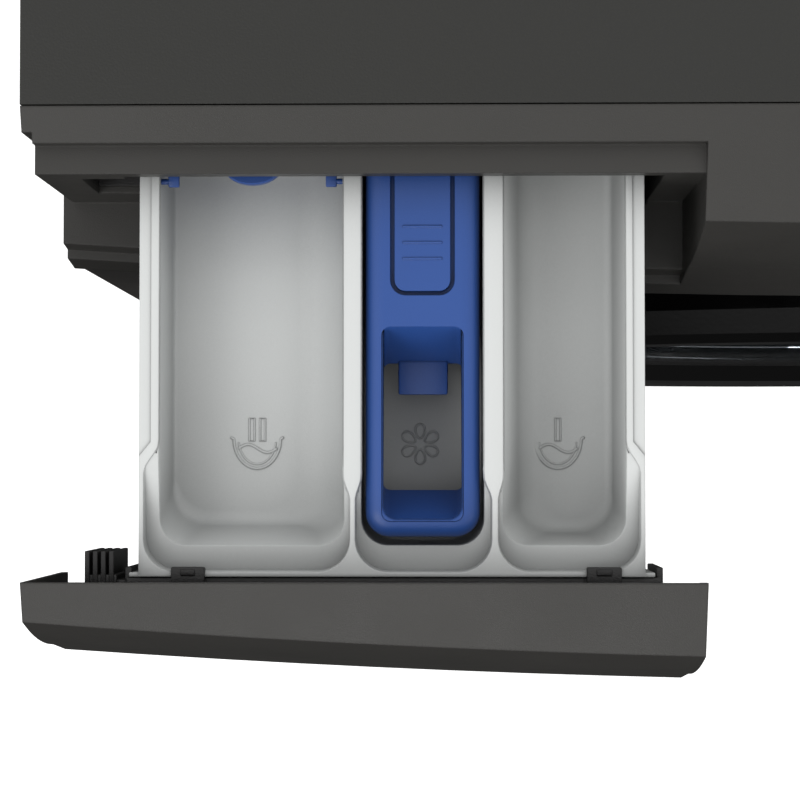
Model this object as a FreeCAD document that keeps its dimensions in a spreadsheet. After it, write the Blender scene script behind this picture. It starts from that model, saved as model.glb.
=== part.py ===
"""Front load washing machine with its detergent drawer pulled out.

Millimetres. Z is up from the floor, the front faces -Y, X runs to the machine's right as seen from
the front, and the origin is on the floor under the middle of the machine's box.
"""
import FreeCAD, Part
import math
import os

import Sketcher

Vector = FreeCAD.Vector
Rotation = FreeCAD.Rotation

ALONG_X = Rotation(Vector(0, 1, 0), 90)
ALONG_Y = Rotation(Vector(1, 0, 0), -90)
ALONG_Z = Rotation()
TURN_AXES = {"x": ALONG_X, "y": ALONG_Y, "z": ALONG_Z}

# ---------------------------------------------------------------- driving sizes

DRIVING = {
    # outer shape
    "half_width": 299.0,
    "top_level": 848.0,
    "back_face": 358.74,
    "sheet_steel": 1.5,
    "plastic_wall": 2.6,
    "gap": 0.4,
    # worktop
    "worktop_front": -179.6,
    "worktop_drop": 26.0,
    "worktop_skin": 4.0,
    # fascia: a sloping ledge, a crease, and a bowed front face under it
    "ledge_back": -180.0,
    "ledge_back_level": 847.7,
    "crease_front": -214.9,
    "crease_level": 835.1,
    "face_mid_step": 9.4,
    "face_mid_level": 785.2,
    "face_mid_radius": 210.0,
    "face_head": 16.0,
    "face_head_slope": 0.3,
    "face_foot_step": 15.0,
    "face_foot_level": 745.8,
    "bow_radius": 4400.0,
    # recess for the drawer's front
    "recess_right": -92.0,
    "recess_back": -190.8,
    "rebate_level": 839.2,
    "recess_wall": -199.6,
    "side_step": 3.1,
    "side_back": -187.6,
    "recess_floor": 769.0,
    "recess_lip": 760.6,
    "mouth_left": -270.0,
    "mouth_right": -104.0,
    "mouth_top": 833.0,
    # drawer
    "drawer_out": 132.0,
    "drawer_front_skin": 2.2,
    "drawer_front_back": -191.3,
    "drawer_front_foot": 761.2,
    "bin_left": -265.5,
    "bin_right": -109.8,
    "bin_front": -190.3,
    "bin_length": 236.0,
    "bin_rim": 828.0,
    "bin_floor": 770.0,
    "bin_wall": 1.6,
    "trough_front": -180.6,
    "main_left": -259.3,
    "main_right": -202.4,
    "softener_left": -197.0,
    "softener_right": -159.2,
    "prewash_left": -153.3,
    "prewash_right": -115.6,
    "trough_floor": 799.0,
    "softener_floor": 790.0,
    "pocket_depth": 8.0,
    "insert_gap": 0.7,
    "insert_front": -178.0,
    "insert_skin": 2.0,
    "insert_depth": 22.0,
    "flap_front": -68.0,
    "flap_drop": 25.0,
    "carrier_depth": 3.4,
    "guide_left": -282.6,
    "guide_right": -272.6,
    "guide_low": 794.0,
    "guide_high": 826.0,
    "guide_room_gap": 2.0,
    # front panel and cabinet
    "panel_front": -218.0,
    "panel_foot": 12.0,
    "rear_panel_face": 346.0,
    "mouth_radius": 176.0,
    # drum, tub and drive, all on one level axis
    "drum_level": 455.0,
    "drum_radius": 240.0,
    "drum_front": -132.0,
    "drum_back": 180.0,
    "drum_mouth": 163.0,
    "tub_radius": 260.0,
    "tub_wall": 4.0,
    "tub_front": -150.0,
    "tub_split": 20.0,
    "tub_back": 214.0,
    "tub_mouth": 178.0,
    "shaft_radius": 15.0,
    "running_gap": 0.05,
    "pulley_front": 262.0,
    "pulley_depth": 18.0,
    "pulley_radius": 140.0,
    "motor_pulley_radius": 10.0,
    "motor_level": 120.0,
    "motor_radius": 58.0,
    "belt_gap": 0.35,
    "belt_thick": 3.0,
    # door
    "door_front": -241.0,
    "door_back": -222.4,
    "door_radius": 235.0,
    "door_window": 156.0,
    "glass_mouth": 154.0,
    "glass_nose": 120.0,
    "glass_reach": -138.0,
    "glass_wall": 5.0,
    "hinge_x": -252.0,
    "hinge_y": -236.0,
    "hinge_pin_radius": 4.0,
    "latch_x": 200.0,
    # controls
    "knob_x": 20.0,
    "control_level": 790.0,
    "knob_radius": 26.0,
    "knob_front": -242.0,
    "knob_seat": -219.6,
    "button_level": 769.0,
    "button_wide": 18.0,
    "button_tall": 8.0,
    "button_proud": 2.0,
    "stem_radius": 3.0,
    "display_left": 112.0,
    "display_right": 284.0,
    "display_low": 783.0,
    "display_high": 815.0,
    # feet
    "foot_x": 262.0,
    "foot_front": -180.0,
    "foot_back": 310.0,
    "foot_radius": 22.0,
    "stud_radius": 5.0,
    # water and power at the rear, and the pump's filter at the front
    "valve_thread_radius": 13.2,
    "spigot_radius": 9.5,
    "valve_x": -240.0,
    "valve_level": 780.0,
    "drain_x": 240.0,
    "drain_level": 700.0,
    "power_x": 240.0,
    "power_level": 780.0,
    "filter_x": 210.0,
    "filter_level": 64.0,
    "filter_radius": 25.0,
    # service flap, and the pin it turns on
    "flap_left": 150.0,
    "flap_right": 270.0,
    "flap_low": 24.0,
    "flap_high": 95.5,
    "flap_pin_radius": 1.0,
    "flap_pin_back": 3.0,
    "flap_pin_level": 29.0,
}

doc = FreeCAD.newDocument("WashingMachine")
sheet = doc.addObject("Spreadsheet::Sheet", "Sizes")


class Dim:
    """A size: its value, and the sheet formula that keeps it driven."""

    def __init__(self, value, formula):
        self.value = value
        self.formula = formula

    def __add__(self, other):
        other = dim(other)
        return Dim(self.value + other.value, "(%s + %s)" % (self.formula, other.formula))

    def __sub__(self, other):
        other = dim(other)
        return Dim(self.value - other.value, "(%s - %s)" % (self.formula, other.formula))

    def __mul__(self, other):
        other = dim(other)
        return Dim(self.value * other.value, "(%s * %s)" % (self.formula, other.formula))

    def __truediv__(self, other):
        other = dim(other)
        return Dim(self.value / other.value, "(%s / %s)" % (self.formula, other.formula))

    def __neg__(self):
        return Dim(-self.value, "(0 - %s)" % self.formula)

    def __radd__(self, other):
        return dim(other) + self

    def __rsub__(self, other):
        return dim(other) - self

    def __rmul__(self, other):
        return dim(other) * self


def dim(size):
    """A plain number as a Dim; a Dim as it is."""
    if isinstance(size, Dim):
        return size
    return Dim(float(size), "%.6f" % size)


def root(size):
    return Dim(math.sqrt(size.value), "sqrt(%s)" % size.formula)


class Sizes:
    """The driving sizes by name."""


def fill_sheet():
    sizes = Sizes()
    for row, (name, value) in enumerate(DRIVING.items(), start=1):
        sheet.set("A%d" % row, name)
        sheet.set("B%d" % row, str(value))
        sheet.setAlias("B%d" % row, name)
        setattr(sizes, name, Dim(value, "Sizes." + name))
    doc.recompute()
    return sizes


S = fill_sheet()
NODES = []

# places of the pieces that come in sets, (x, z) on the rear and (x, y, name) on the floor
BUTTONS = (("power", -41.0), ("temperature", 122.0), ("spin_speed", 160.0),
           ("start", 262.0))
FEET = ((-S.foot_x, S.foot_front, "front_left"), (S.foot_x, S.foot_front, "front_right"),
        (-S.foot_x, S.foot_back, "rear_left"), (S.foot_x, S.foot_back, "rear_right"))
CAP_PLACES = ((-190.0, 300.0), (190.0, 300.0), (-190.0, 610.0), (190.0, 610.0))
DAMPER_PLACES = ((-185, -40), (-185, 90), (185, -40), (185, 90))

# ends of the tools that keep or remove a part of the front: ahead of it, under it, over it
AHEAD = -260.0
BEHIND_FACE = -200.0
UNDER = 700.0
OVER = 860.0

# ---------------------------------------------------------------- makers


def bind(thing, prop, size):
    """Drive one property of a document object from the sheet."""
    thing.setExpression(prop, dim(size).formula)


def node(thing, label):
    """Name a finished sub-part and list it for export."""
    thing.Label = label
    NODES.append(thing)
    return thing


def box(x, y, z):
    """A block; each argument is its (low, high) along that axis."""
    block = doc.addObject("Part::Box", "Block")
    for side, axis, (low, high) in zip(("Length", "Width", "Height"), "xyz", (x, y, z)):
        bind(block, side, dim(high) - low)
        bind(block, "Placement.Base." + axis, low)
    return block


def rod(axis, start, end, radius, x=0.0, y=0.0, z=0.0):
    """A cylinder along an axis, from start to end; x, y, z place the other two coordinates."""
    cylinder = doc.addObject("Part::Cylinder", "Rod")
    cylinder.Placement = FreeCAD.Placement(Vector(0, 0, 0), TURN_AXES[axis])
    bind(cylinder, "Radius", radius)
    bind(cylinder, "Height", dim(end) - start)
    place = {"x": x, "y": y, "z": z}
    place[axis] = start
    for name, size in place.items():
        bind(cylinder, "Placement.Base." + name, size)
    return cylinder


def cut(base, *tools):
    result = doc.addObject("Part::Cut", "Cut")
    result.Base = base
    result.Tool = tools[0] if len(tools) == 1 else fuse(*tools)
    return result


def fuse(*pieces):
    result = doc.addObject("Part::MultiFuse", "Fuse")
    result.Shapes = list(pieces)
    return result


def common(*pieces):
    result = doc.addObject("Part::MultiCommon", "Common")
    result.Shapes = list(pieces)
    return result


def group(*pieces):
    """Separate solids that share one node."""
    result = doc.addObject("Part::Compound", "Group")
    result.Links = list(pieces)
    return result


def tube(axis, start, end, outer, inner, **place):
    return cut(rod(axis, start, end, outer, **place), rod(axis, start, end, inner, **place))


def new_sketch(body, role):
    plane = [item for item in body.Origin.OriginFeatures if item.Role == role][0]
    sketch = body.newObject("Sketcher::SketchObject", "Outline")
    sketch.AttachmentSupport = [(plane, "")]
    sketch.MapMode = "FlatFace"
    return sketch


def arc_middle(start, end, radius):
    """The middle point of the short arc; a positive radius bulges to the left of the walk."""
    chord = end.sub(start)
    sagitta = abs(radius) - math.sqrt(radius * radius - chord.Length * chord.Length / 4)
    left = Vector(-chord.y, chord.x, 0).normalize()
    return start.add(chord.multiply(0.5)).add(left.multiply(math.copysign(sagitta, radius)))


def draw(sketch, corners):
    """A closed outline through corners, each (u, v) or (u, v, radius of the arc that leaves it)."""
    points = [Vector(dim(c[0]).value, dim(c[1]).value, 0) for c in corners]
    count = len(corners)
    flipped = []
    for index, corner in enumerate(corners):
        start = points[index]
        end = points[(index + 1) % count]
        if len(corner) == 2:
            sketch.addGeometry(Part.LineSegment(start, end))
            flipped.append(False)
            continue
        middle = arc_middle(start, end, dim(corner[2]).value)
        sketch.addGeometry(Part.Arc(start, middle, end))
        drawn = sketch.Geometry[index]
        flipped.append(drawn.StartPoint.distanceToPoint(start) > 1e-6)
    for index, corner in enumerate(corners):
        after = (index + 1) % count
        here = 2 if flipped[index] else 1
        leave = 1 if flipped[index] else 2
        arrive = 2 if flipped[after] else 1
        sketch.addConstraint(Sketcher.Constraint("Coincident", index, leave, after, arrive))
        for way, size in (("DistanceX", corner[0]), ("DistanceY", corner[1])):
            number = sketch.addConstraint(Sketcher.Constraint(way, index, here, dim(size).value))
            bind(sketch, "Constraints[%d]" % number, size)
        if len(corner) == 3:
            radius = abs(dim(corner[2]).value)
            number = sketch.addConstraint(Sketcher.Constraint("Radius", index, radius))
            formula = dim(corner[2]).formula
            sketch.setExpression("Constraints[%d]" % number, "abs(%s)" % formula)


def prism(axis, low, high, corners):
    """A body padded along an axis; corners are (y, z) along x, (x, z) along y, (x, y) along z."""
    body = doc.addObject("PartDesign::Body", "Prism")
    role = {"x": "YZ_Plane", "y": "XZ_Plane", "z": "XY_Plane"}[axis]
    sketch = new_sketch(body, role)
    draw(sketch, corners)
    offset = -dim(high) if axis == "y" else dim(low)
    bind(sketch, "AttachmentOffset.Base.z", offset)
    pad = body.newObject("PartDesign::Pad", "Pad")
    pad.Profile = sketch
    bind(pad, "Length", dim(high) - low)
    body.Tip = pad
    return body


def turned(corners, level=0.0):
    """A body turned about the Y direction; corners are (y, radius), level lifts its axis."""
    body = doc.addObject("PartDesign::Body", "Turned")
    sketch = new_sketch(body, "YZ_Plane")
    draw(sketch, corners)
    turn = body.newObject("PartDesign::Revolution", "Turn")
    turn.Profile = sketch
    turn.ReferenceAxis = (sketch, ["H_Axis"])
    turn.Angle = 360
    body.Tip = turn
    bind(body, "Placement.Base.z", level)
    return body


def bowed(corners):
    """A body swept along the front's gentle bow, wider than the machine; corners are (y, z)."""
    body = doc.addObject("PartDesign::Body", "Bowed")
    sketch = new_sketch(body, "YZ_Plane")
    centre = S.crease_front + S.bow_radius
    draw(sketch, [(dim(c[0]) - centre,) + tuple(c[1:]) for c in corners])
    turn = body.newObject("PartDesign::Revolution", "Turn")
    turn.Profile = sketch
    turn.ReferenceAxis = (sketch, ["V_Axis"])
    turn.Angle = 8.4
    turn.Midplane = True
    body.Tip = turn
    bind(body, "Placement.Base.y", centre)
    return body


def soften(body, radius, along):
    """Round the edges of a body's last feature that run along one axis."""
    doc.recompute()
    base = body.Tip
    names = []
    for number, edge in enumerate(base.Shape.Edges, start=1):
        if len(edge.Vertexes) < 2:
            continue
        run = edge.Vertexes[1].Point.sub(edge.Vertexes[0].Point)
        across = [abs(part) for way, part in zip("xyz", (run.x, run.y, run.z)) if way != along]
        if edge.Curve.TypeId == "Part::GeomLine" and max(across) < 1e-6:
            names.append("Edge%d" % number)
    fillet = body.newObject("PartDesign::Fillet", "Rounding")
    fillet.Base = (base, names)
    bind(fillet, "Radius", radius)
    body.Tip = fillet
    return body


# ---------------------------------------------------------------- shared outlines


def ledge_level(y):
    """Level of the sloping ledge at a place, front to back."""
    slope = (S.ledge_back_level - S.crease_level) / (S.ledge_back - S.crease_front)
    return S.crease_level + slope * (dim(y) - S.crease_front)


def face_outline(inset, back, foot_level):
    """Section of the bowed front face, moved in by an inset and left open upwards."""
    foot_slope = (S.face_foot_step - S.face_mid_step) / (S.face_mid_level - S.face_foot_level)
    foot_y = S.crease_front - S.face_foot_step + foot_slope * (dim(foot_level) - S.face_foot_level)
    head = S.crease_level + S.face_head
    return [
        (back, head),
        (S.crease_front + S.face_head * S.face_head_slope + inset, head),
        (S.crease_front + inset, S.crease_level, -S.face_mid_radius),
        (S.crease_front - S.face_mid_step + inset, S.face_mid_level),
        (foot_y + inset, foot_level),
        (back, foot_level),
    ]


def front_shell(inset, back, foot_level):
    """The fascia's full outer shape, moved in by an inset: a flat sloping ledge over the face."""
    ahead = S.crease_front - 30
    behind = dim(back) + 20
    under = prism("x", -S.half_width - 10, S.half_width + 10, [
        (ahead, ledge_level(ahead) - inset), (behind, ledge_level(behind) - inset),
        (behind, S.face_foot_level - 20), (ahead, S.face_foot_level - 20)])
    return common(bowed(face_outline(inset, back, foot_level)), under)


def face_at(x, z):
    """How far forward the front face stands at a place, for the pieces set in it."""
    bow = dim(x) * x / (2 * S.bow_radius)
    foot_slope = (S.face_foot_step - S.face_mid_step) / (S.face_mid_level - S.face_foot_level)
    step = S.face_mid_step + foot_slope * (S.face_mid_level - z)
    return S.crease_front + bow - step


# ---------------------------------------------------------------- cabinet


def make_worktop():
    slab = box((-S.half_width, S.half_width), (S.worktop_front, S.back_face),
               (S.top_level - S.worktop_drop, S.top_level))
    hollow = box((-S.half_width + S.worktop_skin, S.half_width - S.worktop_skin),
                 (S.worktop_front - 1, S.back_face - S.worktop_skin),
                 (S.top_level - S.worktop_drop - 1, S.top_level - S.worktop_skin))
    node(cut(slab, hollow), "worktop")


def make_side_panels():
    top = S.top_level - S.worktop_drop
    outline = [
        (S.panel_front + S.sheet_steel, S.panel_foot),
        (S.rear_panel_face - S.sheet_steel, S.panel_foot),
        (S.rear_panel_face - S.sheet_steel, top),
        (S.ledge_back, top),
        (S.ledge_back, S.face_foot_level),
        (S.panel_front + S.sheet_steel, S.face_foot_level),
    ]
    left = prism("x", -S.half_width, -S.half_width + S.sheet_steel, outline)
    right = prism("x", S.half_width - S.sheet_steel, S.half_width, outline)
    node(left, "left_side_panel")
    node(right, "right_side_panel")


def make_rear_panel():
    top = S.top_level - S.worktop_drop
    sheet_back = box((-S.half_width, S.half_width),
                     (S.rear_panel_face - S.sheet_steel, S.rear_panel_face), (S.panel_foot, top))
    cap_holes = [rod("y", S.rear_panel_face - 5, S.rear_panel_face + 5, 14.0, x=x, z=z)
                 for x, z in CAP_PLACES]
    valve_hole = rod("y", S.rear_panel_face - 5, S.rear_panel_face + 5,
                     S.valve_thread_radius + 1.6, x=S.valve_x, z=S.valve_level)
    through = (S.rear_panel_face - 5, S.rear_panel_face + 5)
    inlet_hole = box((S.power_x - 14, S.power_x + 14), through,
                     (S.power_level - 12, S.power_level + 12))
    drain_hole = rod("y", *through, 12.0, x=S.drain_x, z=S.drain_level)
    node(cut(sheet_back, valve_hole, inlet_hole, drain_hole, *cap_holes), "rear_panel")
    caps = []
    for x, z in CAP_PLACES:
        stem = tube("y", S.rear_panel_face - 12, S.rear_panel_face, 13.9, 11.5, x=x, z=z)
        head = rod("y", S.rear_panel_face, S.rear_panel_face + 3, 19.0, x=x, z=z)
        caps.append(fuse(stem, head))
    node(group(*caps), "transport_bolt_caps")


def make_front_panel():
    back = S.panel_front + S.sheet_steel
    plate = box((-S.half_width, S.half_width), (S.panel_front, back),
                (S.panel_foot, S.face_foot_level))
    opening = rod("y", S.panel_front - 5, back + 5, S.mouth_radius, z=S.drum_level)
    latch_slot = box((S.latch_x - 10, S.latch_x + 10), (S.panel_front - 5, back + 5),
                     (S.drum_level - 15, S.drum_level + 15))
    flap_hole = box((S.flap_left, S.flap_right), (S.panel_front - 5, back + 5),
                    (S.flap_low, S.flap_high))
    ears = [box((low, high), (back - 0.5, S.panel_front + 7), (S.flap_low, S.flap_low + 12))
            for low, high in ((S.flap_left - 6, S.flap_left - 0.2),
                              (S.flap_right + 0.2, S.flap_right + 6))]
    pin_hole = rod("x", S.flap_left - 10, S.flap_right + 10, S.flap_pin_radius,
                   y=S.panel_front + S.flap_pin_back, z=S.flap_pin_level)
    panel = cut(fuse(plate, *ears), opening, latch_slot, flap_hole, pin_hole)
    node(panel, "front_panel")


def make_base():
    inner = S.half_width - S.sheet_steel
    front = S.panel_front + S.sheet_steel
    back = S.rear_panel_face - S.sheet_steel
    tray = box((-inner, inner), (front, back), (S.panel_foot + 2, S.panel_foot + 22))
    pan = box((-inner + 40, inner - 40), (front + 18, back - 40),
              (S.panel_foot + 5, S.panel_foot + 30))
    pump_room = box((112, 276), (front - 1, front + 19), (S.panel_foot + 8, S.panel_foot + 30))
    holes = [rod("z", 0, 60, S.stud_radius + S.running_gap, x=x, y=y) for x, y, name in FEET]
    node(cut(tray, pan, pump_room, *holes), "base_tray")


def make_feet():
    for x, y, name in FEET:
        pad = rod("z", 0, 7, S.foot_radius, x=x, y=y)
        collar = rod("z", 7, 11, 12.0, x=x, y=y)
        stud = rod("z", 11, 42, S.stud_radius, x=x, y=y)
        node(fuse(pad, collar, stud), "foot_" + name)


# ---------------------------------------------------------------- fascia and controls


def recess_cut():
    """The space that the drawer's front fills when the drawer is shut."""
    left = -S.half_width - 5
    front = dim(AHEAD)
    top = S.top_level + 5
    rebate = box((left, S.recess_right), (front, S.recess_back), (S.rebate_level, top))
    room = box((left, S.recess_right), (front, S.recess_wall), (S.recess_floor, top))
    side_room = box((left, -S.half_width + S.side_step), (front, S.side_back),
                    (S.recess_floor, top))
    return rebate, room, side_room


def make_fascia():
    width = (-S.half_width, S.half_width)
    wall = S.plastic_wall
    outer = common(front_shell(0, S.ledge_back, S.face_foot_level),
                   box(width, (AHEAD, S.ledge_back), (UNDER, OVER)))
    inner = front_shell(wall, S.ledge_back + 1, S.face_foot_level + wall)
    right_hollow = common(inner, box((S.recess_right + wall, S.half_width - wall),
                                     (AHEAD, S.ledge_back + 1), (UNDER, OVER)))
    back_hollow = box((-S.half_width + S.side_step + wall, S.recess_right + wall + 1),
                      (S.recess_wall + wall, S.ledge_back + 1),
                      (S.face_foot_level + wall, S.rebate_level - wall))
    under_hollow = box((-S.half_width + wall, S.recess_right + wall + 1),
                       (S.panel_front + wall, S.ledge_back + 1),
                       (S.face_foot_level + wall, S.recess_lip - wall))
    rebate, room, side_room = recess_cut()
    lip = common(bowed(face_outline(-20, S.recess_wall, S.recess_lip)),
                 box((-S.half_width - 5, S.recess_right), (AHEAD, S.recess_wall),
                     (S.recess_lip, S.recess_floor + 1)))
    lip_keep = bowed(face_outline(3.0, S.recess_wall, S.recess_lip))
    lip_cut = cut(lip, lip_keep)
    mouth = box((S.mouth_left, S.mouth_right), (S.recess_wall - 1, S.recess_wall + wall + 1),
                (S.recess_floor - 4, S.mouth_top))
    guide = box((S.guide_left - 0.9, S.mouth_left + 1),
                (S.recess_wall - 1, S.recess_wall + wall + 1),
                (S.guide_low - S.guide_room_gap, S.guide_high + S.guide_room_gap))
    shell = cut(outer, right_hollow, back_hollow, under_hollow, rebate, room, side_room,
                lip_cut, mouth, guide)
    holes = [rod("y", AHEAD, S.knob_seat, S.knob_radius + 1.5, x=S.knob_x, z=S.control_level),
             display_box()]
    boss = common(front_shell(0, S.ledge_back, S.face_foot_level),
                  rod("y", -235, S.knob_seat + 6, S.knob_radius + 4, x=S.knob_x,
                      z=S.control_level))
    bore = rod("y", S.knob_seat - 1, S.knob_seat + 8, S.stem_radius + S.running_gap,
               x=S.knob_x, z=S.control_level)
    for name, x in BUTTONS:
        holes.append(button_block(x, S.gap, AHEAD, BEHIND_FACE))
    node(cut(fuse(shell, boss), bore, *holes), "fascia")


def display_box():
    return box((S.display_left, S.display_right), (AHEAD, BEHIND_FACE),
               (S.display_low, S.display_high))


def make_display():
    band = cut(bowed(face_outline(-0.2, S.ledge_back, S.face_foot_level)),
               bowed(face_outline(2.2, S.ledge_back + 1, S.face_foot_level - 1)))
    node(common(band, display_box()), "display_window")


def button_block(x, grow, front, back):
    half_wide = S.button_wide / 2 + grow
    half_tall = S.button_tall / 2 + grow
    return box((dim(x) - half_wide, dim(x) + half_wide), (front, back),
               (S.button_level - half_tall, S.button_level + half_tall))


def make_controls():
    skirt = turned([
        (S.knob_seat - 1.0, 0), (S.knob_seat - 1.0, S.knob_radius),
        (S.knob_seat - 6.0, S.knob_radius), (S.knob_seat - 9.0, S.knob_radius - 3),
        (S.knob_front + 2, S.knob_radius - 5), (S.knob_front, S.knob_radius - 7),
        (S.knob_front, 0)], S.control_level)
    bind(skirt, "Placement.Base.x", S.knob_x)
    stem = rod("y", S.knob_seat - 1.5, S.knob_seat + 16, S.stem_radius, x=S.knob_x,
               z=S.control_level)
    node(fuse(skirt, stem), "program_knob")
    for name, x in BUTTONS:
        front = face_at(x, S.button_level) - S.button_proud
        cap = button_block(x, 0, front, front + 8)
        stem = rod("y", front + 8, front + 13, 2.0, x=x, z=S.button_level)
        node(fuse(cap, stem), name + "_button")
    board_front = -198.0
    board = box((-70, 290), (board_front, board_front + 1.6), (754, 830))
    switch_body = box((S.knob_x - 12, S.knob_x + 12), (board_front - 13.5, board_front),
                      (S.control_level - 12, S.control_level + 12))
    stem_hole = rod("y", board_front - 14, board_front + 8, S.stem_radius + S.running_gap,
                    x=S.knob_x, z=S.control_level)
    node(cut(fuse(board, switch_body), stem_hole), "control_board")


# ---------------------------------------------------------------- detergent drawer


def pull_out(piece):
    """Set a drawer piece at its pulled-out place."""
    bind(piece, "Placement.Base.y", -S.drawer_out)
    return piece


def make_housing():
    wall = 2.0
    left = S.mouth_left
    right = S.mouth_right
    back = S.bin_front + S.bin_length + 14
    front = S.recess_wall + S.plastic_wall
    outer = box((left - wall, right + wall), (front, back + wall), (763, 835.5))
    inner = box((left, right), (front - 1, back), (765.6, 833.4))
    room_low = S.guide_low - S.guide_room_gap
    room_high = S.guide_high + S.guide_room_gap
    room_left = S.guide_left - 0.9
    guide = box((room_left - wall, left - wall), (front, front + 22),
                (room_low - wall, room_high + wall))
    guide_room = box((room_left, left + 1), (front - 1, front + 20), (room_low, room_high))
    outlet = rod("z", 745, 763, 14.0, x=-187, y=back - 25)
    outlet_bore = rod("z", 744, 770, 11.0, x=-187, y=back - 25)
    jets = [rod("z", 835.5, 839.5, 7.0, x=x, y=back - 50) for x in (-231, -178, -135)]
    solid = fuse(outer, guide, outlet, *jets)
    node(cut(solid, inner, guide_room, outlet_bore), "dispenser_housing")


def make_drawer_front():
    skin = S.drawer_front_skin
    width = box((-S.half_width, S.recess_right - S.gap), (AHEAD, S.drawer_front_back),
                (UNDER, OVER))
    outer = common(front_shell(0, S.ledge_back, S.drawer_front_foot), width)
    inner = front_shell(skin, S.ledge_back + 1, S.drawer_front_foot - 2)
    room = common(inner, box((-S.half_width + skin, S.recess_right - S.gap - skin),
                             (AHEAD, S.ledge_back + 1), (UNDER, OVER)))
    rear = box((-S.half_width + skin, S.recess_right + 1),
               (S.recess_wall - S.gap, S.ledge_back + 30),
               (UNDER, S.rebate_level + S.gap))
    side_foot = common(front_shell(skin, S.ledge_back + 1, S.drawer_front_foot - 2),
                       box((-S.half_width - 1, S.recess_right + 1), (AHEAD, S.ledge_back),
                           (UNDER, S.recess_floor + S.gap)))
    node(pull_out(cut(outer, room, rear, side_foot)), "drawer_front")


def make_drawer_carrier():
    """The dark plate between the drawer's front and its bin, with the guide block on its left."""
    front = S.bin_front - S.carrier_depth
    plate = box((S.mouth_left + 0.8, S.mouth_right - 0.8), (front, S.bin_front),
                (S.bin_floor, S.bin_rim - 1.2))
    guide_width = (S.guide_left, S.guide_right)
    guide_height = (S.guide_low, S.guide_high)
    guide_back = S.bin_front + 8
    guide = box(guide_width, (front, guide_back), guide_height)
    arm = box((S.guide_right - 0.4, S.mouth_left + 2), (front, S.bin_front - 0.6), guide_height)
    link_height = (S.guide_low + 1, S.guide_high - 4)
    rail_back = S.recess_wall - 4
    links = [box((x - 3, x + 3), (rail_back, front), link_height) for x in (-240, -180, -125)]
    rail = box((S.guide_left - 1.4, S.mouth_right), (rail_back - 2.6, rail_back), link_height)
    ribs = [box(guide_width, (guide_back, guide_back + 1.2),
                (S.guide_low + 3 + 8 * step, S.guide_low + 5.5 + 8 * step)) for step in range(4)]
    node(pull_out(fuse(plate, guide, arm, rail, *links, *ribs)), "drawer_carrier")


def trough(left, right, floor):
    """The room of one compartment, round in its corners."""
    back = S.bin_front + S.bin_length - S.bin_wall
    return soften(prism("z", floor, S.bin_rim + 1, [
        (left, S.trough_front), (right, S.trough_front), (right, back), (left, back)]), 6.0, "z")


def make_bin():
    outer = soften(prism("z", S.bin_floor, S.bin_rim, [
        (S.bin_left, S.bin_front), (S.bin_right, S.bin_front),
        (S.bin_right, S.bin_front + S.bin_length), (S.bin_left, S.bin_front + S.bin_length)]),
        4.0, "z")
    rooms = [trough(S.main_left, S.main_right, S.trough_floor),
             trough(S.softener_left, S.softener_right, S.softener_floor),
             trough(S.prewash_left, S.prewash_right, S.trough_floor)]
    pocket_back = S.trough_front + 22
    pockets = [box((left, right), (S.bin_front + S.bin_wall, pocket_back),
                   (S.bin_rim - S.pocket_depth, S.bin_rim + 1))
               for left, right in ((S.bin_left + S.bin_wall, S.main_right + 1.5),
                                   (S.softener_left - 1.5, S.softener_right + 1.5),
                                   (S.prewash_left - 1.5, S.bin_right - S.bin_wall))]
    undersides = []
    for left, right, floor in ((S.bin_left, S.main_right, S.trough_floor),
                               (S.prewash_left, S.bin_right, S.trough_floor)):
        undersides.append(box((left + 3, right - 3), (S.bin_front + 3, S.bin_front + S.bin_length),
                              (S.bin_floor - 1, floor - 2)))
    notch_high = S.bin_rim - 2
    hinge_notches = [rod("x", S.main_left - 2.5, S.main_left + 1, 1.5 + S.running_gap,
                         y=S.flap_front, z=notch_high - 2),
                     rod("x", S.main_right - 1, S.main_right + 2.5, 1.5 + S.running_gap,
                         y=S.flap_front, z=notch_high - 2)]
    node(pull_out(cut(outer, *rooms, *pockets, *undersides, *hinge_notches)), "drawer_bin")


def make_insert():
    """The softener compartment's blue lid: a tray with a window and a press tab."""
    left = S.softener_left + S.insert_gap
    right = S.softener_right - S.insert_gap
    back = S.bin_front + S.bin_length - S.bin_wall - 1
    top = S.bin_rim
    outer = soften(prism("z", top - S.insert_depth, top, [
        (left, S.insert_front), (right, S.insert_front), (right, back), (left, back)]), 5.0, "z")
    under = box((left + S.insert_skin, right - S.insert_skin),
                (S.insert_front + S.insert_skin, back - S.insert_skin),
                (top - S.insert_depth - 1, top - S.insert_skin))
    window = box((left + 4.8, right - 4.8), (S.insert_front + 5, S.insert_front + 64),
                 (top - S.insert_depth - 2, top + 1))
    mid = (left + right) / 2
    slot_long = (-112.0, -78.0)
    slots = [box((mid - 10.5, mid - 9.5), slot_long, (top - 5, top + 1)),
             box((mid + 9.5, mid + 10.5), slot_long, (top - 5, top + 1)),
             box((mid - 10.5, mid + 10.5), (slot_long[0] - 1, slot_long[0]), (top - 5, top + 1))]
    siphon = tube("z", S.softener_floor + S.gap, top - S.insert_skin, 6.0, 3.5, x=mid, y=20)
    level_tab = box((mid - 7.5, mid + 7.5), (S.insert_front + 54, S.insert_front + 64.5),
                    (top - 10, top - 8.5))
    solid = fuse(cut(outer, under, window, *slots), siphon, level_tab)
    node(pull_out(solid), "softener_insert")


def make_liquid_flap():
    top = S.bin_rim - 2
    plate = box((S.main_left + 0.6, S.main_right - 0.6), (S.flap_front - 1, S.flap_front + 1),
                (top - S.flap_drop, top - 3))
    barrel = rod("x", S.main_left + 0.6, S.main_right - 0.6, 2.0, y=S.flap_front, z=top - 2)
    pegs = rod("x", S.main_left - 2.0, S.main_right + 2.0, 1.5, y=S.flap_front, z=top - 2)
    node(pull_out(fuse(plate, barrel, pegs)), "liquid_flap")


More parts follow.
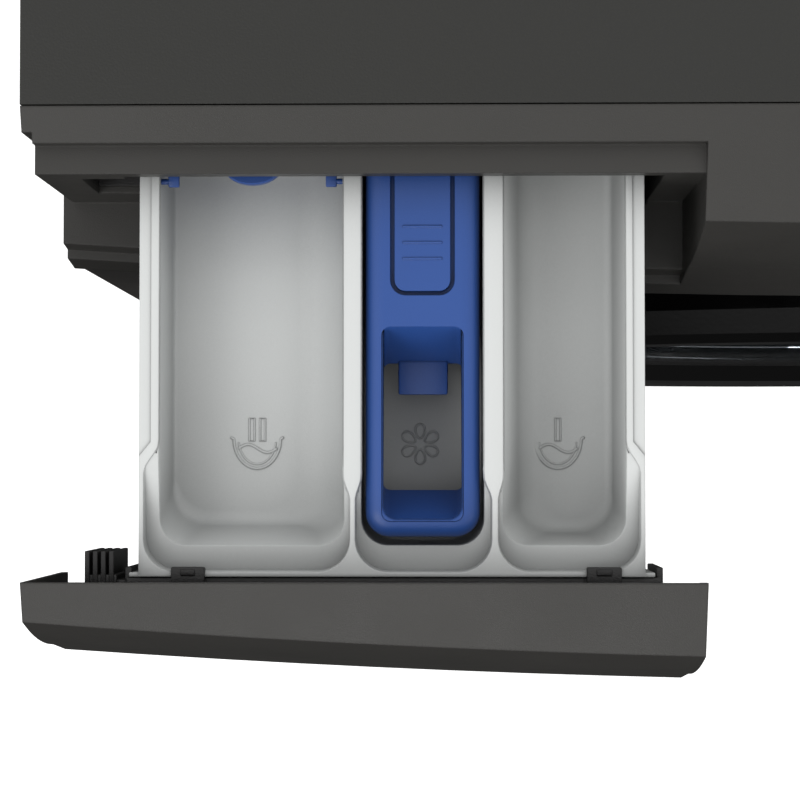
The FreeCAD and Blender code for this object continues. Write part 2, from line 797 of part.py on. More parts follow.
# ---------------------------------------------------------------- door


def door_ring(bore):
    """The door's outer ring, or a full disc with its outer shape when the bore is nothing."""
    return turned([
        (S.door_back, bore), (S.door_back, S.door_radius),
        (S.door_back - 7, S.door_radius), (S.door_front + 3, S.door_radius - 8),
        (S.door_front, S.door_radius - 16), (S.door_front + 1.5, S.door_window + 22),
        (S.door_front + 9, bore)], S.drum_level)


def make_door():
    ring = door_ring(S.door_window)
    grip = box((S.latch_x + 7, 240), (S.door_back - 8, S.door_back + 1),
               (S.drum_level - 45, S.drum_level + 45))
    node(cut(ring, grip), "door_ring")
    trim = tube("y", S.door_back, S.door_back + 2.6, S.mouth_radius - 13.5, S.glass_mouth,
                z=S.drum_level)
    node(trim, "door_back_ring")
    node(glass_bowl(), "door_glass")
    hook_base = box((S.latch_x - 5, S.latch_x + 3), (S.door_back, S.door_back + 3),
                    (S.drum_level - 12, S.drum_level + 12))
    hook_arm = box((S.latch_x - 4, S.latch_x + 1), (S.door_back, -197),
                   (S.drum_level - 7, S.drum_level + 7))
    hook_nose = box((S.latch_x + 1, S.latch_x + 4), (-203, -197),
                    (S.drum_level - 7, S.drum_level + 7))
    node(fuse(hook_base, hook_arm, hook_nose), "door_latch_hook")
    lock = box((S.latch_x - 17, S.latch_x + 17), (S.panel_front + S.sheet_steel, -184),
               (S.drum_level - 27, S.drum_level + 27))
    lock_room = box((S.latch_x - 10, S.latch_x + 10), (S.panel_front - 1, -190),
                    (S.drum_level - 15, S.drum_level + 15))
    node(cut(lock, lock_room), "door_lock")


def glass_bowl():
    """A thick dished window: a flange at the door's front and a bowl that reaches inwards."""
    wall = S.glass_wall
    flange = S.door_front + 10.5
    rim = S.door_window - 0.3
    return turned([
        (flange, rim - 26), (flange, rim), (flange + wall, rim), (S.door_back, S.glass_mouth - 2),
        (S.glass_reach - 14, S.glass_nose), (S.glass_reach, S.glass_nose - 14),
        (S.glass_reach, 0), (S.glass_reach - wall, 0),
        (S.glass_reach - wall, S.glass_nose - 17), (S.glass_reach - 17, S.glass_nose - wall),
        (S.door_back, S.glass_mouth - 2 - wall), (flange + wall, rim - 12)], S.drum_level)


def make_hinge():
    low = S.drum_level - 42
    high = S.drum_level + 42
    knuckle_low = S.drum_level - 29.5
    knuckle_high = S.drum_level + 29.5
    plate = box((-276, -243), (S.panel_front - 2.4, S.panel_front), (low - 12, high + 12))
    ears = []
    for bottom, top in ((low, S.drum_level - 30), (S.drum_level + 30, high)):
        barrel = rod("z", bottom, top, 8.0, x=S.hinge_x, y=S.hinge_y)
        web = box((S.hinge_x - 8, S.hinge_x + 8), (S.hinge_y, S.panel_front - 2), (bottom, top))
        ears.append(fuse(barrel, web))
    bore = rod("z", low - 1, high + 1, S.hinge_pin_radius, x=S.hinge_x, y=S.hinge_y)
    node(cut(fuse(plate, *ears), bore), "hinge_bracket")
    barrel = rod("z", knuckle_low, knuckle_high, 7.6, x=S.hinge_x, y=S.hinge_y)
    arm = box((S.hinge_x, -222), (S.hinge_y - 4.6, S.door_back), (knuckle_low, knuckle_high))
    ring_room = door_ring(100)
    arm_bore = rod("z", low, high, S.hinge_pin_radius + S.running_gap, x=S.hinge_x, y=S.hinge_y)
    node(cut(fuse(barrel, arm), ring_room, arm_bore), "hinge_arm")
    pin = rod("z", low - 2, high + 2, S.hinge_pin_radius, x=S.hinge_x, y=S.hinge_y)
    node(pin, "hinge_pin")


# ---------------------------------------------------------------- gasket, tub and drum


def make_gasket():
    lip = S.panel_front - 3.2
    panel_back = S.panel_front + S.sheet_steel
    mouth = S.mouth_radius
    collar = S.tub_mouth
    gasket = turned([
        (lip, mouth - 12), (lip, mouth + 6), (S.panel_front, mouth + 6), (S.panel_front, mouth),
        (panel_back, mouth), (panel_back, mouth + 6), (panel_back + 3, mouth + 6),
        (panel_back + 3, mouth - 6), (-196, mouth - 6), (-190, mouth + 6), (-172, mouth + 6),
        (-170, collar + 4), (S.tub_front, collar + 4), (S.tub_front, collar), (-166, collar),
        (-169, mouth + 2), (-186, mouth + 2), (-193, mouth - 9.4), (-206, mouth - 9.4),
        (-208, mouth - 12)], S.drum_level)
    node(gasket, "door_gasket")
    clamp = tube("y", -163, -157, collar + 6.2, collar + 4, z=S.drum_level)
    node(clamp, "gasket_clamp")


def make_tub():
    wall = S.tub_wall
    mouth = S.tub_mouth
    front = turned([
        (-166, mouth - wall), (-166, mouth), (S.tub_front, mouth),
        (S.tub_front, S.tub_radius - 12), (S.tub_front + 12, S.tub_radius),
        (S.tub_split - 8, S.tub_radius), (S.tub_split - 8, S.tub_radius + 9),
        (S.tub_split, S.tub_radius + 9), (S.tub_split, S.tub_radius - wall),
        (S.tub_front + 14, S.tub_radius - wall), (S.tub_front + wall, S.tub_radius - 16),
        (S.tub_front + wall, mouth - wall)], S.drum_level)
    node(front, "tub_front")
    hub = 48.0
    rear = turned([
        (S.tub_split, S.tub_radius - wall), (S.tub_split, S.tub_radius + 9),
        (S.tub_split + 8, S.tub_radius + 9), (S.tub_split + 8, S.tub_radius),
        (S.tub_back, S.tub_radius), (S.tub_back, hub), (S.tub_back + 36, hub),
        (S.tub_back + 36, 30), (S.tub_back + 22, 30), (S.tub_back + 22, 26),
        (S.tub_back + 12, 26), (S.tub_back + 12, 30), (S.tub_back - 8, 30),
        (S.tub_back - 8, hub), (S.tub_back - wall - 2, hub + 4),
        (S.tub_back - wall - 2, S.tub_radius - wall)], S.drum_level)
    node(rear, "tub_rear")
    inner = S.shaft_radius + S.running_gap
    bearings = [tube("y", S.tub_back - 4, S.tub_back + 12, 30, inner, z=S.drum_level),
                tube("y", S.tub_back + 22, S.tub_back + 35, 30, inner, z=S.drum_level)]
    node(group(*bearings), "shaft_bearings")
    seal = tube("y", S.tub_back - 8, S.tub_back - 4, 30, inner, z=S.drum_level)
    node(seal, "shaft_seal")
    bolts = [rod("y", S.rear_panel_face, S.rear_panel_face + 2.4, 4.0, x=x, z=z)
             for x in (-285.0, -95.0, 95.0, 285.0) for z in (30.0, 805.0)]
    for step in range(12):
        angle = math.radians(15 + 30 * step)
        reach = S.tub_radius + 4.6
        x = reach * math.cos(angle)
        z = S.drum_level + reach * math.sin(angle)
        bolts.append(rod("y", S.tub_split - 12, S.tub_split - 8, 4.0, x=x, z=z))
    node(group(*bolts), "fixing_screws")


def make_counterweights():
    ring = tube("y", -196, S.tub_front, 246, S.mouth_radius + 14, z=S.drum_level)
    gap = box((-300, 300), (-200, -140), (S.drum_level - 40, S.drum_level + 40))
    front = cut(ring, gap)
    block = box((-60, 190), (-70, 130), (S.drum_level + 180, S.drum_level + 318))
    tub_round = rod("y", -80, 140, S.tub_radius + 9.5, z=S.drum_level)
    node(group(front, cut(block, tub_round)), "counterweights")


def make_drum():
    wall = 1.6
    shell = turned([
        (S.drum_front, S.drum_mouth), (S.drum_front, S.drum_radius - 10),
        (S.drum_front + 10, S.drum_radius), (S.drum_back - 10, S.drum_radius),
        (S.drum_back, S.drum_radius - 10), (S.drum_back, 0), (S.drum_back - wall, 0),
        (S.drum_back - wall, S.drum_radius - 11), (S.drum_back - 11, S.drum_radius - wall),
        (S.drum_front + 11, S.drum_radius - wall), (S.drum_front + wall, S.drum_radius - 11),
        (S.drum_front + wall, S.drum_mouth + 3), (S.drum_front + 5, S.drum_mouth + 3),
        (S.drum_front + 5, S.drum_mouth)], S.drum_level)
    node(shell, "drum_shell")
    inside = S.drum_radius - wall - 0.2
    paddles = []
    for step in range(3):
        body = prism("y", S.drum_front + 24, S.drum_back - 20, [
            (-26, inside - 1.3), (26, inside - 1.3), (10, inside - 58), (-10, inside - 58)])
        body.Placement.Rotation = Rotation(Vector(0, 1, 0), 120 * step)
        bind(body, "Placement.Base.z", S.drum_level)
        paddles.append(body)
    node(group(*paddles), "drum_paddles")
    arms = []
    for step in range(3):
        arm = prism("y", S.drum_back, S.drum_back + 14, [
            (-22, 20), (22, 20), (14, inside - 10), (-14, inside - 10)])
        arm.Placement.Rotation = Rotation(Vector(0, 1, 0), 60 + 120 * step)
        bind(arm, "Placement.Base.z", S.drum_level)
        arms.append(arm)
    hub = rod("y", S.drum_back, S.drum_back + 22, 38, z=S.drum_level)
    shaft_hole = rod("y", S.drum_back + 6, S.drum_back + 40, S.shaft_radius, z=S.drum_level)
    node(cut(fuse(hub, *arms), shaft_hole), "drum_spider")
    shaft = rod("y", S.drum_back + 6, S.pulley_front + S.pulley_depth + 4, S.shaft_radius,
                z=S.drum_level)
    node(shaft, "drum_shaft")


def make_drive():
    front = S.pulley_front
    back = S.pulley_front + S.pulley_depth
    middle = front + S.pulley_depth / 2
    radius = S.pulley_radius
    pulley = turned([
        (front, radius - 6), (front, radius), (back, radius), (back, radius - 6),
        (middle + 2.5, radius - 6), (middle + 2.5, 32), (back, 32), (back, S.shaft_radius),
        (front, S.shaft_radius), (front, 32), (middle - 2.5, 32), (middle - 2.5, radius - 6)],
        S.drum_level)
    windows = []
    for step in range(6):
        angle = math.radians(60 * step + 30)
        windows.append(rod("y", front, back, 26, x=84 * math.cos(angle),
                           z=S.drum_level + 84 * math.sin(angle)))
    node(cut(pulley, *windows), "drum_pulley")
    node(make_belt(front + 2, back - 2), "drive_belt")
    motor = rod("y", 122, 246, S.motor_radius, z=S.motor_level)
    fins = [tube("y", y, y + 4, S.motor_radius + 3, S.motor_radius - 1, z=S.motor_level)
            for y in (140, 156, 172, 188, 204, 220)]
    nose = rod("y", 246, 252, 22, z=S.motor_level)
    bore = rod("y", 200, 254, 6 + S.running_gap, z=S.motor_level)
    node(cut(fuse(motor, nose, *fins), bore), "motor")
    rotor_shaft = rod("y", 202, back + 2, 6, z=S.motor_level)
    motor_pulley = rod("y", front, back, S.motor_pulley_radius, z=S.motor_level)
    node(fuse(rotor_shaft, motor_pulley), "motor_rotor")


def belt_hull(grow, front, back):
    """Both pulleys wrapped by straight tangents; grow is the height over the pulleys."""
    big = S.pulley_radius + grow
    small = S.motor_pulley_radius + grow
    lean = (big - small) / (S.drum_level - S.motor_level)
    upright = root(1 - lean * lean)
    flanks = prism("y", front, back, [
        (-(big * upright), S.drum_level - big * lean),
        (big * upright, S.drum_level - big * lean),
        (small * upright, S.motor_level - small * lean),
        (-(small * upright), S.motor_level - small * lean)])
    return fuse(flanks, rod("y", front, back, big, z=S.drum_level),
                rod("y", front, back, small, z=S.motor_level))


def make_belt(front, back):
    return cut(belt_hull(S.belt_gap + S.belt_thick, front, back),
               belt_hull(S.belt_gap, front - 1, back + 1))


def coil_spring(x):
    """A tension spring between the cabinet's top rail and the tub's ear."""
    wire = 1.7
    radius = 11.0
    low = S.drum_level.value + 208.0
    turns = Part.makeHelix(5.0, 80.0, radius)
    section = Part.Wire(Part.makeCircle(wire, Vector(radius, 0, 0), Vector(0, 1, 0)))
    spring = doc.addObject("Part::Feature", "Spring")
    spring.Shape = Part.Wire(turns.Edges).makePipeShell([section], True, True)
    spring.Placement = FreeCAD.Placement(Vector(x, 80, low), Rotation())
    return spring


def make_suspension():
    node(group(coil_spring(-215), coil_spring(215)), "suspension_springs")
    cylinders = []
    rods = []
    foot_level = 44
    eye_level = 250
    for x, y in DAMPER_PLACES:
        foot = rod("x", x - 10, x + 10, 8, y=y, z=foot_level)
        neck = rod("z", foot_level, foot_level + 8, 9, x=x, y=y)
        barrel = tube("z", foot_level + 6, foot_level + 116, 13, 9, x=x, y=y)
        cylinders.append(fuse(foot, neck, barrel))
        eye = rod("x", x - 9, x + 9, 8, y=y, z=eye_level)
        rods.append(fuse(rod("z", foot_level + 26, eye_level, 5, x=x, y=y), eye))
    node(group(*cylinders), "damper_cylinders")
    node(group(*rods), "damper_rods")


# ---------------------------------------------------------------- water system and power


def make_water_parts():
    at_filter = {"x": S.filter_x, "z": S.filter_level}
    pump_front = -190.0
    pump_back = -110.0
    seat_front = -208.0
    pump = fuse(box((130, 230), (pump_front, pump_back), (44, 110)),
                rod("y", pump_back - 2, pump_back + 52, 30, x=180, z=70),
                rod("y", seat_front, pump_front + 5, S.filter_radius + 5, **at_filter))
    filter_bore = rod("y", seat_front - 1, pump_front + 40, S.filter_radius, **at_filter)
    node(cut(pump, filter_bore), "drain_pump")
    cap = fuse(rod("y", seat_front - 0.6, pump_front + 30, S.filter_radius - S.running_gap,
                   **at_filter),
               box((S.filter_x - 20, S.filter_x + 20), (seat_front - 5.6, seat_front),
                   (S.filter_level - 3, S.filter_level + 3)))
    node(cap, "filter_cap")
    at_hinge = {"y": S.panel_front + S.flap_pin_back, "z": S.flap_pin_level}
    flap = fuse(box((S.flap_left + 0.6, S.flap_right - 0.6),
                    (S.panel_front, S.panel_front + 2.2), (S.flap_low + 1.6, S.flap_high - 0.6)),
                rod("x", S.flap_left + 6, S.flap_right - 6, 2.6, **at_hinge))
    flap_bore = rod("x", S.flap_left, S.flap_right, S.flap_pin_radius + S.running_gap, **at_hinge)
    node(cut(flap, flap_bore), "service_flap")
    node(rod("x", S.flap_left - 4, S.flap_right + 4, S.flap_pin_radius, **at_hinge), "flap_pin")
    heater_level = 206.5
    heater_half = 34
    limbs = [rod("y", -120, 190, 4.0, x=x, z=heater_level) for x in (-heater_half, heater_half)]
    cross = rod("x", -heater_half, heater_half, 3.4, y=184, z=heater_level)
    node(fuse(*limbs, cross), "heater")
    valve = fuse(box((S.valve_x - 18, S.valve_x + 18), (280, 330),
                     (S.valve_level - 22, S.valve_level + 22)),
                 rod("y", 330, S.rear_panel_face, S.valve_thread_radius - 0.6,
                     x=S.valve_x, z=S.valve_level),
                 rod("y", S.rear_panel_face, S.back_face - S.gap, S.valve_thread_radius,
                     x=S.valve_x, z=S.valve_level))
    valve_bore = rod("y", 334, S.back_face + 1, 7.5, x=S.valve_x, z=S.valve_level)
    node(cut(valve, valve_bore), "inlet_valve")
    spigot = fuse(box((S.drain_x - 16, S.drain_x + 16), (320, S.rear_panel_face - S.sheet_steel),
                      (S.drain_level - 16, S.drain_level + 16)),
                  rod("y", 340, S.rear_panel_face, S.spigot_radius - 0.5,
                      x=S.drain_x, z=S.drain_level),
                  rod("y", S.rear_panel_face, S.back_face - S.gap, S.spigot_radius,
                      x=S.drain_x, z=S.drain_level))
    spigot_bore = rod("y", 325, S.back_face + 1, 7.0, x=S.drain_x, z=S.drain_level)
    node(cut(spigot, spigot_bore), "drain_outlet")
    inlet = cut(box((S.power_x - 13.8, S.power_x + 13.8), (325, S.rear_panel_face + 2),
                    (S.power_level - 11.8, S.power_level + 11.8)),
                box((S.power_x - 11, S.power_x + 11), (330, S.rear_panel_face + 3),
                    (S.power_level - 9, S.power_level + 9)))
    pins = [box((S.power_x + x - 1, S.power_x + x + 1), (329, 342),
                (S.power_level - 3, S.power_level + 3)) for x in (-6, 0, 6)]
    node(fuse(inlet, *pins), "power_inlet")


def build():
    make_worktop()
    make_side_panels()
    make_rear_panel()
    make_front_panel()
    make_base()
    make_feet()
    make_fascia()
    make_display()
    make_controls()
    make_housing()
    make_drawer_front()
    make_drawer_carrier()
    make_bin()
    make_insert()
    make_liquid_flap()
    make_door()
    make_hinge()
    make_gasket()
    make_tub()
    make_counterweights()
    make_drum()
    make_drive()
    make_suspension()
    make_water_parts()


def check_and_write():
    doc.recompute()
    faults = []
    for thing in doc.Objects:
        if "Invalid" in thing.State or "Error" in thing.State:
            faults.append("%s (%s) failed" % (thing.Label, thing.TypeId))
    for thing in NODES:
        if thing.Shape.isNull() or not thing.Shape.isValid():
            faults.append(thing.Label + " has no valid shape")
    if faults:
        raise SystemExit("\n".join(faults))
    os.makedirs("parts", exist_ok=True)
    whole = FreeCAD.BoundBox()
    for thing in NODES:
        thing.Shape.exportStep(os.path.join("parts", thing.Label + ".step"))
        whole.add(thing.Shape.BoundBox)
    print(len(NODES), "nodes, box", whole)


build()
check_and_write()
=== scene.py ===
import math

import bmesh
import bpy
from mathutils import Matrix, Vector


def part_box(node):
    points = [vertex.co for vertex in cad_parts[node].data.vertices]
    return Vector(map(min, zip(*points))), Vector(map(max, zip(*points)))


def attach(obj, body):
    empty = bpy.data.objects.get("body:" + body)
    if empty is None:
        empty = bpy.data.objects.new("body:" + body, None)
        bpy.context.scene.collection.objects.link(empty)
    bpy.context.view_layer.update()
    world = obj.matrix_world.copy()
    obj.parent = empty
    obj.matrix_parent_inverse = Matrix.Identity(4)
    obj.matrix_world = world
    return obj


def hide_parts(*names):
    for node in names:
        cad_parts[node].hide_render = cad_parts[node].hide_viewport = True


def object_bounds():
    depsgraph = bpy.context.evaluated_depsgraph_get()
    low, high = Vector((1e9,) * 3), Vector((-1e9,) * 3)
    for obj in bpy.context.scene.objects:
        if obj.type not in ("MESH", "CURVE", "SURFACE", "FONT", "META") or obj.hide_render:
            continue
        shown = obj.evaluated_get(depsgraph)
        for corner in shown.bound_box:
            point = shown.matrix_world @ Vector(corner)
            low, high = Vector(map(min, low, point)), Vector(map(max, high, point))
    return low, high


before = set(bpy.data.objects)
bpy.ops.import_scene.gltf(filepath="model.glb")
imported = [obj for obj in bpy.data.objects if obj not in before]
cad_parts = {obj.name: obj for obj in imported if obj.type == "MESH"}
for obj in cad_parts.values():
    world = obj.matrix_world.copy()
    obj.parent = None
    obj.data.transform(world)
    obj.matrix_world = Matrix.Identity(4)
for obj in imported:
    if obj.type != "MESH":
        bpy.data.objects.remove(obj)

cad_low, cad_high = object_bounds()
MM = 0.001
# The reach of the painted shade that darkens hollows and corners.
PAINTED_SHADE_REACH = 0.036


# ---------------------------------------------------------------- materials

def linear(red, green, blue):
    """The linear colour of an sRGB colour given from 0 to 255."""
    def channel(value):
        share = value / 255
        if share <= 0.04045:
            return share / 12.92
        return ((share + 0.055) / 1.055) ** 2.4
    return (channel(red), channel(green), channel(blue), 1.0)


def scaled(colour, factor):
    return tuple(min(1.0, channel * factor) for channel in colour[:3]) + (1.0,)


def surface(name, colour, roughness, mottle=0.08, mottle_size=0.03, grain=0.1,
            grain_size=0.0006, stretch=(1, 1, 1), smudge=0.06, wear_and_highlight=0.2,
            edge=0.0004, painted_shade=0.0, **sockets):
    """A finish with colour variation, fine grain, uneven gloss, and edges lightened partly for wear
    and partly as a painted highlight.

    mottle is the share that the colour varies by, over mottle_size metres. grain is the
    height of the bump, whose features are grain_size across and stretched by stretch.
    edge is the radius of the softened edges, and wear_and_highlight is how far their colour
    lightens:
    part wear, part a painted highlight along edges and creases. painted_shade is how far the colour
    darkens where the surface is shut in, a painted shade in hollows and corners."""
    material = bpy.data.materials.new(name)
    material.use_nodes = True
    nodes = material.node_tree.nodes
    links = material.node_tree.links
    shader = nodes["Principled BSDF"]
    place = nodes.new("ShaderNodeTexCoord")
    mapping = nodes.new("ShaderNodeMapping")
    mapping.inputs["Scale"].default_value = stretch
    links.new(place.outputs["Object"], mapping.inputs["Vector"])

    def noise(size, detail, source):
        texture = nodes.new("ShaderNodeTexNoise")
        texture.inputs["Scale"].default_value = 1 / size
        texture.inputs["Detail"].default_value = detail
        links.new(source, texture.inputs["Vector"])
        return texture.outputs["Fac"]

    def ranged(value, low, high, start=0.3, end=0.7):
        node = nodes.new("ShaderNodeMapRange")
        node.inputs["From Min"].default_value = start
        node.inputs["From Max"].default_value = end
        node.inputs["To Min"].default_value = low
        node.inputs["To Max"].default_value = high
        links.new(value, node.inputs["Value"])
        return node.outputs["Result"]

    def mixed(factor, first, second):
        node = nodes.new("ShaderNodeMix")
        node.data_type = "RGBA"
        for key, value in (("Factor", factor), ("A", first), ("B", second)):
            if isinstance(value, (float, tuple)):
                node.inputs[key].default_value = value
            else:
                links.new(value, node.inputs[key])
        return node.outputs["Result"]

    broad = noise(mottle_size, 4, place.outputs["Object"])
    fine = noise(grain_size, 2, mapping.outputs["Vector"])
    paint = mixed(ranged(broad, 0, 1), scaled(colour, 1 - mottle), scaled(colour, 1 + mottle))
    speck = mixed(ranged(fine, 0, 1), scaled(colour, 1 - mottle), scaled(colour, 1 + mottle))
    paint = mixed(0.5, paint, speck)

    bevel = nodes.new("ShaderNodeBevel")
    bevel.samples = 3
    bevel.inputs["Radius"].default_value = edge
    # Lighter colour along every edge: part wear, part a painted highlight on edges and creases.
    if wear_and_highlight:
        shape = nodes.new("ShaderNodeNewGeometry")
        turned = nodes.new("ShaderNodeVectorMath")
        turned.operation = "DOT_PRODUCT"
        links.new(bevel.outputs["Normal"], turned.inputs[0])
        links.new(shape.outputs["Normal"], turned.inputs[1])
        rim = ranged(turned.outputs["Value"], wear_and_highlight, 0, 0.8, 0.99)
        paint = mixed(rim, paint, scaled(colour, 1.9))
    # Painted shade: the colour darkens towards 0.3 of itself where the surface is shut in, in
    # hollows and corners.
    if painted_shade:
        shade_probe = nodes.new("ShaderNodeAmbientOcclusion")
        shade_probe.samples = 6
        shade_probe.inputs["Distance"].default_value = PAINTED_SHADE_REACH
        depth = ranged(shade_probe.outputs["AO"], painted_shade, 0, 0.35, 0.97)
        paint = mixed(depth, paint, scaled(colour, 0.3))
    links.new(paint, shader.inputs["Base Color"])
    gloss = ranged(broad, max(0.02, roughness - smudge), min(1.0, roughness + smudge))
    links.new(gloss, shader.inputs["Roughness"])
    bump = nodes.new("ShaderNodeBump")
    bump.inputs["Strength"].default_value = 1.0
    bump.inputs["Distance"].default_value = grain * grain_size
    links.new(fine, bump.inputs["Height"])
    links.new(bevel.outputs["Normal"], bump.inputs["Normal"])
    links.new(bump.outputs["Normal"], shader.inputs["Normal"])
    for socket, value in sockets.items():
        shader.inputs[socket.replace("_", " ")].default_value = value
    return material


FINISHES = {
    "anthracite_paint": surface(
        "anthracite_paint", linear(50, 48, 47), 0.42, Specular_IOR_Level=0.28, mottle=0.05,
        grain=0.22, grain_size=0.0011, Coat_Weight=0.12, Coat_Roughness=0.3),
    "anthracite_worktop": surface(
        "anthracite_worktop", linear(41, 41, 39), 0.5, Specular_IOR_Level=0.28, mottle=0.04,
        grain=0.3, smudge=0.02, grain_size=0.0008, mottle_size=0.05),
    # Its wide edge radius widens the rounded edges and their lighter band, part painted highlight,
    # along the crease.
    "anthracite_plastic": surface(
        "anthracite_plastic", linear(52, 51, 49), 0.42, Specular_IOR_Level=0.28, mottle=0.05,
        grain=0.16, grain_size=0.0004, edge=0.001),
    "black_plastic": surface(
        "black_plastic", linear(24, 23, 23), 0.48, mottle=0.1, grain=0.25,
        grain_size=0.0005),
    "gloss_black": surface(
        "gloss_black", linear(7, 7, 7), 0.16, mottle=0.05, grain=0.02, smudge=0.05,
        grain_size=0.002, wear_and_highlight=0.05, Specular_IOR_Level=0.25),
    # Painted shade darkens this colour in the tray's troughs and corners.
    "light_grey_plastic": surface(
        "light_grey_plastic", linear(199, 201, 200), 0.46, mottle=0.01, grain=0.05,
        grain_size=0.0004, wear_and_highlight=0.0, painted_shade=0.8),
    # Painted shade darkens this colour in the lid's hollows.
    "blue_plastic": surface(
        "blue_plastic", linear(37, 72, 138), 0.4, Specular_IOR_Level=0.4, mottle=0.05, grain=0.12,
        grain_size=0.0004, wear_and_highlight=0.12, painted_shade=0.5),
    "chrome_trim": surface(
        "chrome_trim", linear(205, 206, 208), 0.12, mottle=0.03, grain=0.02,
        smudge=0.06, grain_size=0.001, wear_and_highlight=0.0, Metallic=1.0),
    "galvanised_steel": surface(
        "galvanised_steel", linear(172, 175, 177), 0.42, mottle=0.05, mottle_size=0.02,
        grain=0.08, grain_size=0.001, smudge=0.05, Metallic=0.8),
    "stainless_steel": surface(
        "stainless_steel", linear(192, 192, 190), 0.24, mottle=0.06, grain=0.06,
        grain_size=0.0006, stretch=(1, 14, 14), smudge=0.08, wear_and_highlight=0.1, Metallic=1.0),
    "cast_aluminium": surface(
        "cast_aluminium", linear(176, 177, 180), 0.5, mottle=0.1, grain=0.5,
        grain_size=0.0009, Metallic=0.85),
    "grey_rubber": surface(
        "grey_rubber", linear(104, 106, 108), 0.62, mottle=0.08, grain=0.2,
        grain_size=0.0007, Sheen_Weight=0.15),
    "black_rubber": surface(
        "black_rubber", linear(30, 30, 30), 0.7, mottle=0.15, grain=0.3,
        grain_size=0.0008, Sheen_Weight=0.1),
    "door_glass": surface(
        "door_glass", linear(104, 109, 113), 0.03, mottle=0.01, grain=0.0, smudge=0.01,
        grain_size=0.02, wear_and_highlight=0.0, Transmission_Weight=0.95, IOR=1.46,
        Specular_IOR_Level=0.1),
    "smoked_window": surface(
        "smoked_window", linear(12, 12, 14), 0.06, mottle=0.05, grain=0.01,
        smudge=0.03, grain_size=0.003, wear_and_highlight=0.0, Coat_Weight=0.5, Coat_Roughness=0.03),
    "tub_plastic": surface(
        "tub_plastic", linear(150, 149, 145), 0.6, mottle=0.1, grain=0.3,
        grain_size=0.0009),
    "white_plastic": surface(
        "white_plastic", linear(222, 221, 216), 0.42, mottle=0.03, grain=0.12,
        grain_size=0.0005, wear_and_highlight=0.05),
    "concrete": surface(
        "concrete", linear(150, 147, 142), 0.9, mottle=0.22, mottle_size=0.006,
        grain=1.1, grain_size=0.0022),
    "circuit_green": surface(
        "circuit_green", linear(28, 92, 54), 0.35, mottle=0.12, grain=0.1,
        grain_size=0.0012),
    "zinc_fastener": surface(
        "zinc_fastener", linear(180, 180, 176), 0.34, mottle=0.12, mottle_size=0.003,
        grain=0.12, grain_size=0.0006, Metallic=1.0),
    "display_glow": surface(
        "display_glow", linear(220, 232, 240), 0.5, mottle=0.02, wear_and_highlight=0.0, edge=0.0001,
        Emission_Color=(0.8, 0.92, 1.0, 1.0), Emission_Strength=0.7),
}

NODE_FINISH = {
    "anthracite_paint": (
        "left_side_panel", "right_side_panel", "front_panel", "hinge_bracket"),
    "anthracite_worktop": ("worktop",),
    "anthracite_plastic": ("fascia", "drawer_front", "service_flap"),
    "black_plastic": (
        "dispenser_housing", "drawer_carrier", "power_inlet", "power_button",
        "temperature_button", "spin_speed_button", "start_button",
        "door_back_ring", "transport_bolt_caps", "flap_pin"),
    "gloss_black": ("door_ring", "hinge_arm"),
    "light_grey_plastic": ("drawer_bin",),
    "blue_plastic": ("softener_insert", "liquid_flap"),
    "chrome_trim": ("program_knob",),
    "galvanised_steel": ("rear_panel", "base_tray", "motor", "gasket_clamp"),
    "stainless_steel": ("drum_shell", "drum_paddles", "heater"),
    "cast_aluminium": ("drum_spider", "drum_pulley"),
    "grey_rubber": ("door_gasket",),
    "black_rubber": (
        "drive_belt", "shaft_seal", "foot_front_left", "foot_front_right",
        "foot_rear_left", "foot_rear_right"),
    "door_glass": ("door_glass",),
    "smoked_window": ("display_window",),
    "tub_plastic": ("tub_front", "tub_rear"),
    "white_plastic": (
        "drain_pump", "drain_outlet", "inlet_valve", "filter_cap", "door_lock",
        "damper_cylinders", "door_latch_hook"),
    "concrete": ("counterweights",),
    "circuit_green": ("control_board",),
    "zinc_fastener": (
        "fixing_screws", "suspension_springs", "damper_rods", "hinge_pin",
        "drum_shaft", "motor_rotor", "shaft_bearings"),
}


def dress(thing, finish):
    thing.data.materials.clear()
    thing.data.materials.append(FINISHES[finish])


for finish, names in NODE_FINISH.items():
    for name in names:
        dress(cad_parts[name], finish)


# ------------------------------------------------------------------ mesh help
# Pieces are drawn in millimetres and brought to metres when they are finished.

def box_of(node):
    low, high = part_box(node)
    return low / MM, high / MM


def finished(name, bm, finish, body, stands_for=(), angle=32):
    """A piece of this mesh: smooth but for its sharp edges, dressed, riding on its body."""
    bmesh.ops.remove_doubles(bm, verts=bm.verts, dist=1e-4)
    bmesh.ops.recalc_face_normals(bm, faces=bm.faces)
    mesh = bpy.data.meshes.new(name)
    bm.to_mesh(mesh)
    bm.free()
    mesh.transform(Matrix.Scale(MM, 4))
    mesh.shade_smooth()
    mesh.set_sharp_from_angle(angle=math.radians(angle))
    piece = bpy.data.objects.new(name, mesh)
    bpy.context.scene.collection.objects.link(piece)
    dress(piece, finish)
    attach(piece, body)
    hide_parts(*stands_for)
    return piece


def add_ring(bm, points):
    return [bm.verts.new(point) for point in points]


def bridge(bm, first, second):
    """Faces between two closed rings of equally many points."""
    count = len(first)
    for here in range(count):
        there = (here + 1) % count
        bm.faces.new((first[here], first[there], second[there], second[here]))


def fill(bm, *loops):
    """A flat face between an outer loop and the loops inside it."""
    edges = []
    for loop in loops:
        for here, there in zip(loop, loop[1:] + loop[:1]):
            edges.append(bm.edges.get((here, there)) or bm.edges.new((here, there)))
    bmesh.ops.triangle_fill(bm, use_beauty=True, use_dissolve=False, edges=edges)


def eased(share):
    """A smooth step from 0 to 1."""
    share = max(0.0, min(1.0, share))
    return share * share * (3 - 2 * share)


def between(start, end, share):
    return start + (end - start) * share


def arc(centre, radius, start, end, steps):
    """Points of an arc in plan, angles in degrees."""
    points = []
    for step in range(steps + 1):
        angle = math.radians(between(start, end, step / steps))
        points.append((centre[0] + radius * math.cos(angle), centre[1] + radius * math.sin(angle)))
    return points


